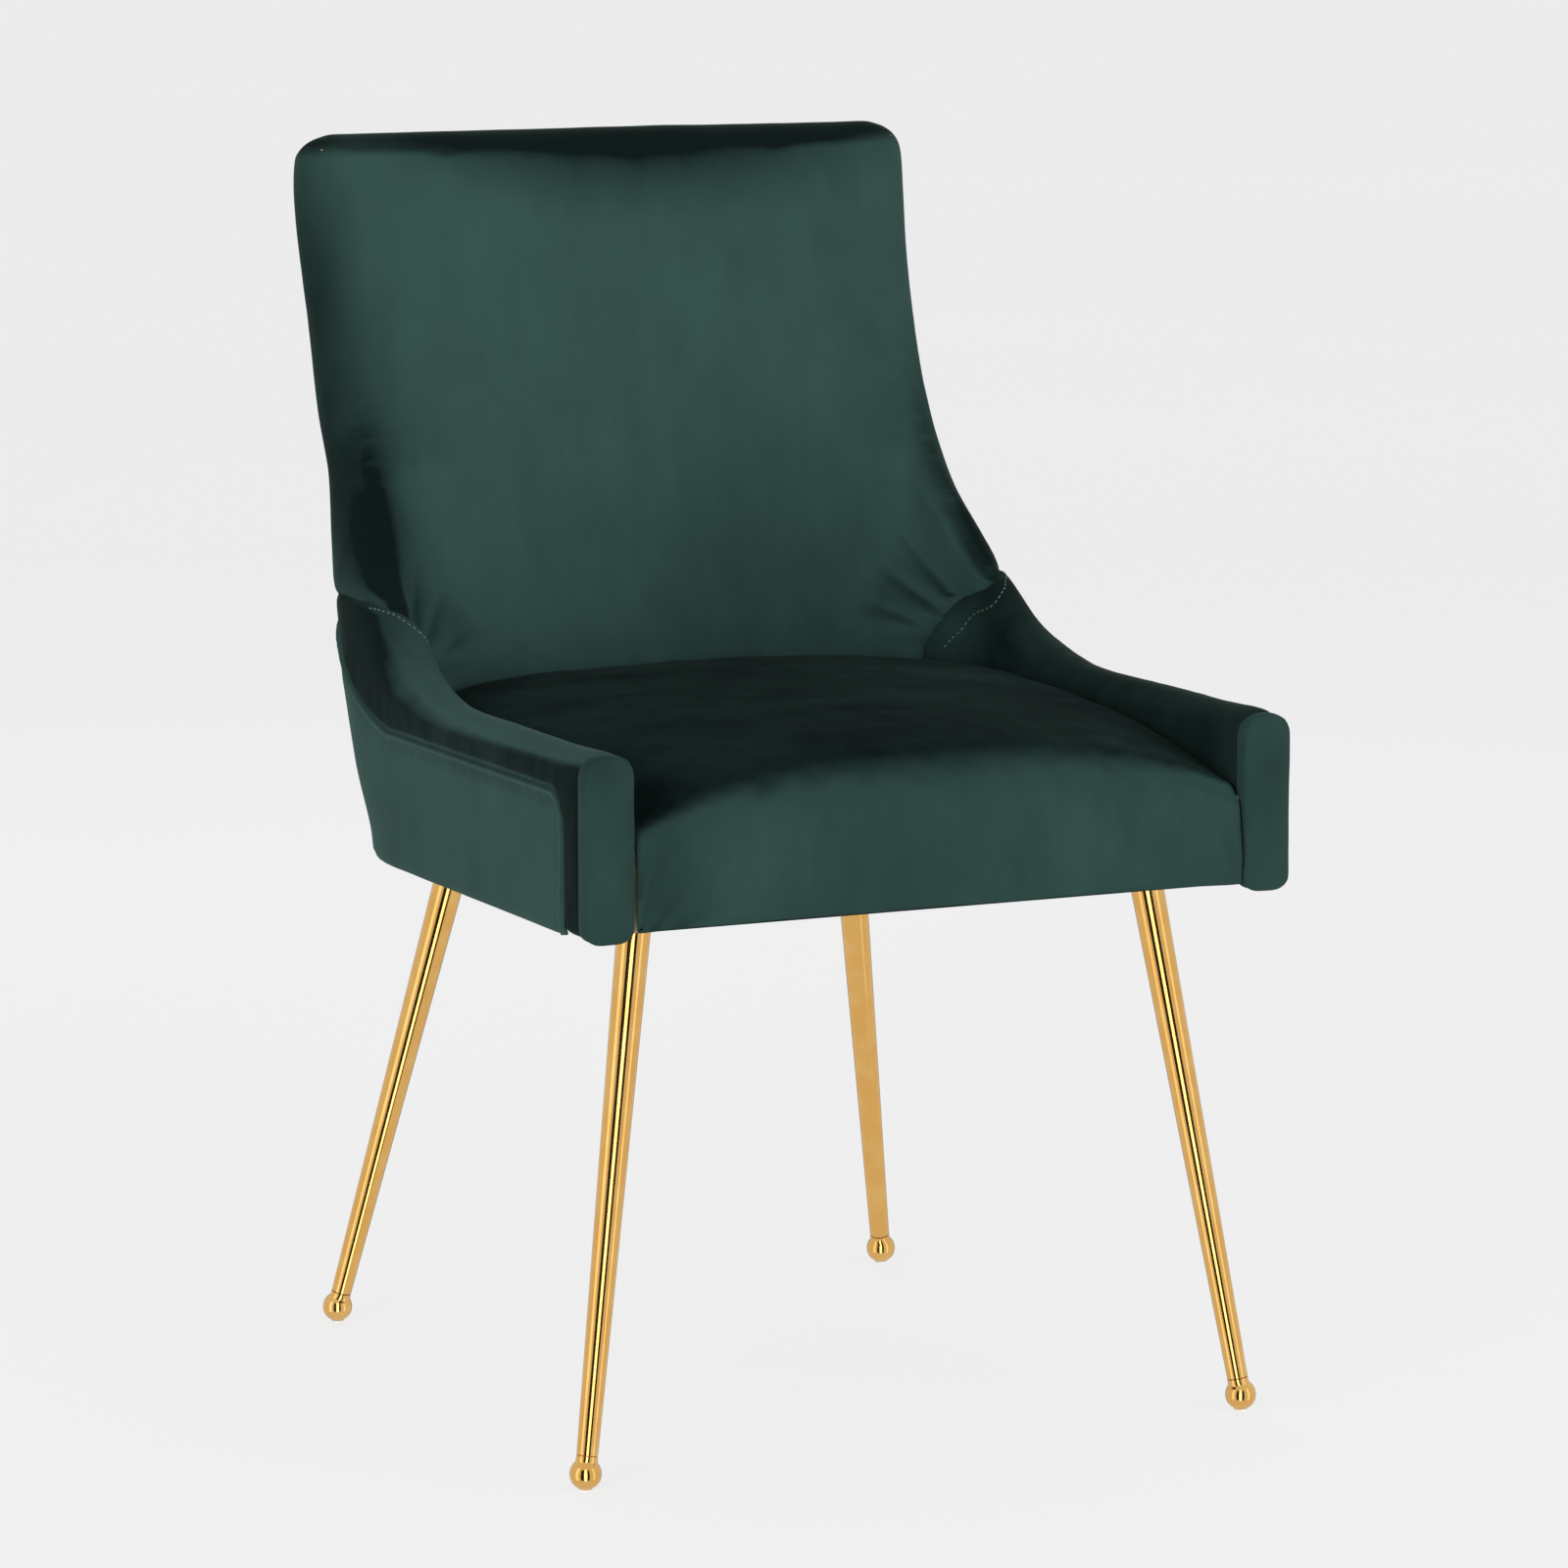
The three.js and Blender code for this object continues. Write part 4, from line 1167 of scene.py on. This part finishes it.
class Shader:
    """One material, and the nodes that are added to it."""

    def __init__(self, name):
        self.material = bpy.data.materials.new(name)
        self.material.use_nodes = True
        self.tree = self.material.node_tree
        self.surface = self.tree.nodes["Principled BSDF"]
        self.place = self.node("ShaderNodeTexCoord", {}, {}, "Object")

    def node(self, kind, settings, inputs, output=0):
        made = self.tree.nodes.new(kind)
        for key, value in settings.items():
            setattr(made, key, value)
        for key, value in inputs.items():
            if isinstance(value, Value):
                self.tree.links.new(value.socket, made.inputs[key])
            else:
                made.inputs[key].default_value = value
        return Value(self, made.outputs[output])

    def set(self, **inputs):
        """Sets sockets of the surface: names with _ for spaces."""
        for key, value in inputs.items():
            socket = self.surface.inputs[key.replace("_", " ")]
            if isinstance(value, Value):
                self.tree.links.new(value.socket, socket)
            else:
                socket.default_value = value

    def mix(self, share, first, second):
        inputs = {0: share, 6: first, 7: second}
        return self.node("ShaderNodeMix", {"data_type": "RGBA", "clamp_factor": True}, inputs, 2)

    def noise(self, scale, detail=3, stretch=(1, 1, 1), roughness=0.5):
        spot = self.node("ShaderNodeMapping", {}, {"Vector": self.place, "Scale": stretch})
        inputs = {"Vector": spot, "Scale": scale, "Detail": detail, "Roughness": roughness}
        return self.node("ShaderNodeTexNoise", {}, inputs)

    def spot(self, centre, size):
        """1 at a place on the piece, falling to 0 at an ellipsoid of the given half sizes."""
        moved_in = self.node("ShaderNodeVectorMath", {"operation": "SUBTRACT"}, {0: self.place, 1: centre})
        scaled = self.node("ShaderNodeVectorMath", {"operation": "DIVIDE"}, {0: moved_in, 1: size})
        far = self.node("ShaderNodeVectorMath", {"operation": "LENGTH"}, {0: scaled}, "Value")
        return far.ranged(1, 0)

    def facing(self, name):
        """How far the surface faces along an axis."""
        normal = self.node("ShaderNodeNewGeometry", {}, {}, "Normal")
        return self.node("ShaderNodeSeparateXYZ", {}, {0: normal}, name)

    def bump(self, height, strength, distance):
        inputs = {"Height": height, "Strength": strength, "Distance": distance}
        self.set(Normal=self.node("ShaderNodeBump", {}, inputs))


# %% [markdown]
# ## Velvet
#
# Velvet is a woven ground with a short dense pile. The pile drinks light where one looks into it and
# shines where it lies flat, so hands and folds leave light and dark strokes that have nothing to do with
# shape. The material mixes a lit and a shaded green. Soft strokes of noise stand for those strokes of the
# pile. Each piece's overall level, a few broad patches for each piece and a darkening of faces turned up
# or out are painted light and painted shade. It adds sheen and raises a fine nap. The patches read object
# coordinates, so that they stay on the cloth.

# %% The velvet of each piece
# The velvet's green in full painted light, and its darkest pile in full painted shade.
LIT = (0.0305, 0.0675, 0.0595, 1)
DARK_PILE_AND_SHADE = (0.0030, 0.0078, 0.0072, 1)


def velvet(name, painted_light_level, patches, turned=(), sheen=0.08):
    """The second argument is the piece's overall painted light level; each patch is (centre, half sizes, how
    much it adds): painted shade below 0, painted highlight above.

    Each of turned is (axis, start, end, amount): where the surface faces that way, painted shade darkens it.
    """
    shader = Shader(name)
    light = shader.noise(9, 4, (1, 1, 0.6), 0.55) * 0.5 + shader.noise(34, 5, (1.3, 1, 0.5), 0.65) * 0.3
    # The piece's overall painted light level.
    light = light + (painted_light_level - 0.4)
    # Patches of painted shade and painted highlight.
    for centre, size, amount in patches:
        light = light + shader.spot(centre, size) * amount
    # The side covers' border attribute adds a painted highlight along their lip.
    light = light + shader.node("ShaderNodeAttribute", {"attribute_name": "border"}, {}, "Fac") * 0.5
    # Painted shade on faces turned along an axis.
    for axis, start, end, amount in turned:
        light = light - shader.facing(axis).ranged(start, end) * amount
    light = light.clamped()
    pile = shader.noise(1500, 2)
    shader.set(Base_Color=shader.mix(light, DARK_PILE_AND_SHADE, LIT))
    shader.set(Roughness=light * -0.1 + 0.88 + pile * 0.06)
    shader.set(Specular_IOR_Level=sheen / 2, Sheen_Weight=sheen, Sheen_Roughness=0.4)
    shader.set(Sheen_Tint=(0.42, 0.62, 0.56, 1), Specular_Tint=(0.5, 0.75, 0.68, 1))
    shader.bump(pile * 0.5 + shader.noise(260, 3) * 0.5, 0.28, 0.0006)
    return shader.material


# Per piece: its painted light level, patches of painted shade (less than 0) and painted highlight (more than
# 0), and faces darkened with painted shade. The velvet's own green is the same on every piece.
VELVETS = {
    # Back: painted shade along the top roll, down both sides and low in the middle, one faint painted
    # highlight, and painted shade on faces turned up.
    "back_pad": velvet("velvet_back", 0.88, [
        ((0.03, 0.25, 0.858), (0.27, 0.4, 0.085), -1.0),
        ((-0.245, 0.2, 0.66), (0.08, 0.4, 0.2), -0.75),
        ((-0.24, 0.25, 0.79), (0.055, 0.4, 0.11), -0.4),
        ((-0.235, 0.14, 0.575), (0.07, 0.4, 0.09), -0.4),
        ((0.24, 0.15, 0.62), (0.04, 0.4, 0.13), -0.6),
        ((0.07, 0.15, 0.5), (0.22, 0.4, 0.17), -0.34),
        ((-0.13, 0.2, 0.72), (0.09, 0.4, 0.2), 0.08),
    ], [("Z", 0.3, 0.85, 0.7)]),
    # Seat: painted shade at the front left corner and along the apron, painted highlights in streaks on the
    # top, and painted shade on the upward top.
    "seat_cushion": velvet("velvet_seat", 0.68, [
        ((-0.2, -0.28, 0.39), (0.04, 0.05, 0.08), -0.18),
        ((0.0, -0.28, 0.385), (0.2, 0.05, 0.03), -0.04),
        ((0.05, -0.1, 0.48), (0.22, 0.035, 0.02), 0.09),
        ((-0.12, 0.02, 0.48), (0.1, 0.05, 0.03), 0.14),
        ((0.15, -0.02, 0.475), (0.06, 0.09, 0.03), 0.1),
    ], [("Z", 0.6, 0.98, 0.6)], 0.02),
    # Left arm: a painted highlight on the crest, painted shade at the rear and low at the front, and painted
    # shade on faces turned outwards.
    "arm_pad_left": velvet("velvet_arm_left", 0.9, [
        ((-0.2, -0.12, 0.475), (0.035, 0.2, 0.03), 0.1),
        ((-0.25, 0.13, 0.52), (0.05, 0.13, 0.075), -0.85),
        ((-0.22, 0.17, 0.54), (0.05, 0.06, 0.04), -0.5),
        ((-0.25, -0.265, 0.41), (0.03, 0.03, 0.09), -0.7),
    ], [("X", -0.72, -0.99, 0.85)]),
    # Right arm: its inner face gets painted shade all over, with one painted highlight near its rear.
    "arm_pad_right": velvet("velvet_arm_right", 0.12, [
        ((0.19, 0.09, 0.5), (0.035, 0.06, 0.06), 0.45),
    ]),
    # Sides: a broad painted highlight towards the rear and a thin painted shadow along the left lip.
    "side": velvet("velvet_side", 0.82, [
        ((-0.25, 0.15, 0.45), (0.2, 0.12, 0.06), 0.12),
        ((-0.25, -0.1, 0.452), (0.02, 0.2, 0.012), -0.3),
    ]),
    # Facings: a lower painted light level, and painted shade at an outer corner of each.
    "facing": velvet("velvet_facing", 0.62, [
        ((-0.25, -0.28, 0.475), (0.03, 0.03, 0.03), -0.2),
        ((0.237, -0.29, 0.44), (0.03, 0.03, 0.06), -0.22),
    ]),
    # Rear cover: its painted light level only.
    "outside_back": velvet("velvet_rear", 0.7, []),
}

# %% [markdown]
# ## Polished gold, wood and the small hidden parts
#
# The legs are steel with a bright gold-coloured plate: a mirror, with the faintest haze from handling.
# The frame is plain timber, with grain that runs along each piece. Cloth, powder coat, zinc and nylon
# finish the parts that only show from below.


# %% The other materials
def gold():
    """A mirror of warm gold, very slightly hazed."""
    shader = Shader("gold_plate")
    haze = shader.noise(60, 4)
    shader.set(Base_Color=shader.mix(haze.ranged(0.35, 0.75), (0.86, 0.48, 0.135, 1), (0.9, 0.55, 0.18, 1)))
    shader.set(Metallic=1.0, Roughness=haze * 0.08 + 0.07)
    return shader.material


def timber(name, pale, dark, stretch):
    """Wood with a grain that is stretched along the piece."""
    shader = Shader(name)
    grain = shader.noise(38, 5, stretch, 0.62)
    shader.set(Base_Color=shader.mix(grain.ranged(0.35, 0.7), pale, dark))
    shader.set(Roughness=grain * 0.2 + 0.6)
    shader.bump(grain, 0.2, 0.0008)
    return shader.material


def speckled(name, colour, other, scale, roughness, metallic=0.0, bump=0.1):
    """A plain finish, slightly mottled between two near colours."""
    shader = Shader(name)
    spots = shader.noise(scale, 3)
    shader.set(Base_Color=shader.mix(spots.ranged(0.3, 0.75), colour, other))
    shader.set(Metallic=metallic, Roughness=spots * 0.2 + (roughness - 0.1))
    shader.bump(spots, bump, 0.0004)
    return shader.material


GOLD = gold()
THREAD = speckled("velvet_thread", (0.075, 0.14, 0.12, 1), (0.13, 0.2, 0.18, 1), 900, 0.6)
FINISHES = {
    "plywood": timber("birch_plywood", (0.62, 0.46, 0.29, 1), (0.45, 0.3, 0.17, 1), (0.15, 1.6, 6)),
    "beech": timber("planed_beech", (0.6, 0.42, 0.26, 1), (0.46, 0.3, 0.17, 1), (0.2, 3, 3)),
    "black_steel": speckled(
        "black_powder_coat", (0.018, 0.018, 0.02, 1), (0.03, 0.03, 0.032, 1), 700, 0.5, 0.4
    ),
    "zinc": speckled("zinc_plate", (0.55, 0.56, 0.58, 1), (0.7, 0.7, 0.7, 1), 300, 0.35, 1.0),
    "nylon": speckled("nylon", (0.78, 0.76, 0.7, 1), (0.7, 0.68, 0.62, 1), 120, 0.45),
    "dust_cloth": speckled(
        "black_cloth", (0.012, 0.012, 0.012, 1), (0.03, 0.03, 0.03, 1), 1400, 0.95, bump=0.4
    ),
}

# %% [markdown]
# ## Putting the chair together
#
# Every piece takes its finish, moves with the chair's one body, and hides the design solid it stands
# for. The design's own timber and steel stay, with better finishes from the design's list.
# Velvet is drawn round the front rail and the arms' panels, so they take the right arm's velvet, whose
# low level is painted shade, and the little that shows of them is dark.


# %% Finish each piece, attach it to the body and hide what it replaces
def finished(piece, material, nodes):
    """Gives a piece its material and body, and hides the design nodes it replaces."""
    piece.data.materials.clear()
    piece.data.materials.append(material)
    piece.data.shade_smooth()
    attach(piece, "root")
    if nodes:
        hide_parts(*nodes)


SOFT = {
    "back_pad": (back, 0.75), "seat_cushion": (seat, 0.85),
    "arm_pad_right": (arms[0], 0.8), "arm_pad_left": (arms[1], 0.8),
}
for name, (piece, fill) in SOFT.items():
    finished(piece, VELVETS[name], [name])
for piece in facings:
    finished(piece, VELVETS["facing"], [piece.name.removesuffix("_velvet")])
for piece in sides:
    finished(piece, VELVETS["side"], [piece.name.removesuffix("_velvet")])
finished(rear, VELVETS["outside_back"], ["outside_back"])
for piece in threads:
    finished(piece, THREAD, [])
for piece in [*legs, *balls]:
    finished(piece, GOLD, [piece.name.removesuffix("_polished")])
    piece.data.set_sharp_from_angle(angle=math.radians(35))
finished(dust, FINISHES["dust_cloth"], ["dust_cover"])

# These parts take the right arm's velvet, darkened with painted shade.
WRAPPED = ("front_rail", "arm_panel_left", "arm_panel_right")  # velvet is drawn round these
for part in frame["record"]["subparts"]:
    node = frame["nodes"][part["node"]]
    if not node.hide_render:
        for held in node.material_slots:
            wrapped = part["node"] in WRAPPED
            held.material = VELVETS["arm_pad_right"] if wrapped else FINISHES[part["material_slot"]]

# %% [markdown]
# ## Floor, light and camera
#
# The chair stands on a pale seamless floor. Two wide soft lights stand low on either side of the
# camera, because light that rakes across velvet shows its pile and leaves upward faces deep. Polished
# tubes show what is around them, so upright cards and a dome that only mirrors see stand round the
# chair: a bright card in a dark one draws the bright line with dark edges down the middle of each tube.


# %% Floor
def floor():
    """A wide sheet that glows a little, so that it is as pale near the chair as far away."""
    bm = bmesh.new()
    bmesh.ops.create_grid(bm, x_segments=1, y_segments=1, size=60)
    piece = as_object(bm, "floor")
    shader = Shader("pale_floor")
    glow = shader.noise(0.4, 2)
    shader.set(Base_Color=shader.mix(glow, (0.1, 0.1, 0.1, 1), (0.12, 0.12, 0.12, 1)), Roughness=0.9)
    shader.set(Specular_IOR_Level=0.0, Emission_Color=(1, 1, 1, 1), Emission_Strength=0.78)
    piece.data.materials.append(shader.material)
    piece.visible_glossy = False
    piece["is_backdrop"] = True


floor()


# %% Lights
def area_light(name, place, aim, width, height, power):
    """A soft light that mirrors don't see, turned towards a point."""
    light = bpy.data.lights.new(name, "AREA")
    light.shape, light.size, light.size_y, light.energy = "RECTANGLE", width, height, power
    stand = bpy.data.objects.new(name, light)
    stand.location = place
    stand.rotation_mode = "QUATERNION"
    stand.rotation_quaternion = (Vector(aim) - Vector(place)).to_track_quat("-Z", "Y")
    stand.visible_glossy = False
    bpy.context.scene.collection.objects.link(stand)


area_light("light_left", (-2.6, -1.9, 1.15), (0, 0, 0.5), 1.6, 1.8, 62)
area_light("light_right", (1.9, -3.0, 1.0), (0, 0, 0.5), 1.4, 1.8, 62)
area_light("light_rear", (0.6, 2.6, 2.0), (0, 0, 0.5), 2.0, 1.2, 16)


def mirrored_only(piece, glow):
    """A glowing stage piece that shows only in mirrors, so that it lights nothing else."""
    shader = Shader(piece.name)
    shader.set(Base_Color=(0, 0, 0, 1), Roughness=1.0, Specular_IOR_Level=0.0)
    shader.set(Emission_Color=(1, 1, 1, 1), Emission_Strength=glow)
    piece.data.materials.append(shader.material)
    piece.visible_camera = piece.visible_diffuse = piece.visible_shadow = piece.visible_transmission = False
    piece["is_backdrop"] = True


def card(name, turn, distance, low, high, width, glow):
    """An upright card that only mirrors see, at a turn in degrees from straight ahead of the chair."""
    bm = bmesh.new()
    bmesh.ops.create_grid(bm, x_segments=1, y_segments=1, size=0.5)
    ahead = Matrix.Translation((0, -distance, (low + high) / 2))
    place = Matrix.Rotation(math.radians(turn), 4, "Z") @ ahead
    upright = Matrix.Rotation(math.radians(90), 4, "X") @ Matrix.Diagonal((width, high - low, 1, 1))
    bmesh.ops.transform(bm, matrix=place @ upright, verts=bm.verts)
    mirrored_only(as_object(bm, name), glow)


def dome():
    """A glow all round that only mirrors see."""
    bm = bmesh.new()
    bmesh.ops.create_icosphere(bm, subdivisions=4, radius=9)
    bmesh.ops.reverse_faces(bm, faces=bm.faces)
    return as_object(bm, "card_dome")


CARD_TOP = 3
mirrored_only(dome(), 0.74)
for name, turn, distance, low, width, glow in (
    ("card_dark", -27, 3.6, -2.5, 4.2, 0.02),
    ("card_bright", -24.5, 3.5, -2.5, 1.15, 2.8),
    ("card_left", -84, 3.4, -2, 1.2, 1.4),
    ("card_right", 36, 3.4, -2, 0.8, 1.3),
    ("card_rear_left", -190, 3.4, -2, 1.6, 0.3),
    ("card_rear_right", -222, 3.4, -2, 1.6, 0.3),
):
    card(name, turn, distance, low, CARD_TOP, width, glow)

world = bpy.data.worlds.new("studio")
bpy.context.scene.world = world
world.use_nodes = True
world.node_tree.nodes["Background"].inputs["Color"].default_value = (1, 1, 1, 1)
world.node_tree.nodes["Background"].inputs["Strength"].default_value = 0.5
bpy.context.scene.view_settings.view_transform = "Standard"

# %% Camera
VIEW = math.radians(-25.42), math.radians(8.83)
DISTANCE = 4.32406
TARGET = Vector((-11.24, -64.89, 419.08)) * MM
turn, rise = VIEW
back_to_camera = Vector((math.sin(turn) * math.cos(rise), -math.cos(turn) * math.cos(rise), math.sin(rise)))
camera = bpy.data.objects.new("camera", bpy.data.cameras.new("camera"))
camera.data.lens = 146.9
camera.data.clip_end = 200
camera.location = TARGET + back_to_camera * DISTANCE
camera.rotation_mode = "QUATERNION"
camera.rotation_quaternion = (-back_to_camera).to_track_quat("-Z", "Y")
bpy.context.scene.collection.objects.link(camera)
bpy.context.scene.camera = camera

# %% Sizes of the design and of the finished chair
LOOKS_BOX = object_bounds()
for title, box in (("looks", LOOKS_BOX), ("design", CAD_BOX)):
    print(title, [round(b - a, 4) for a, b in zip(*box)])
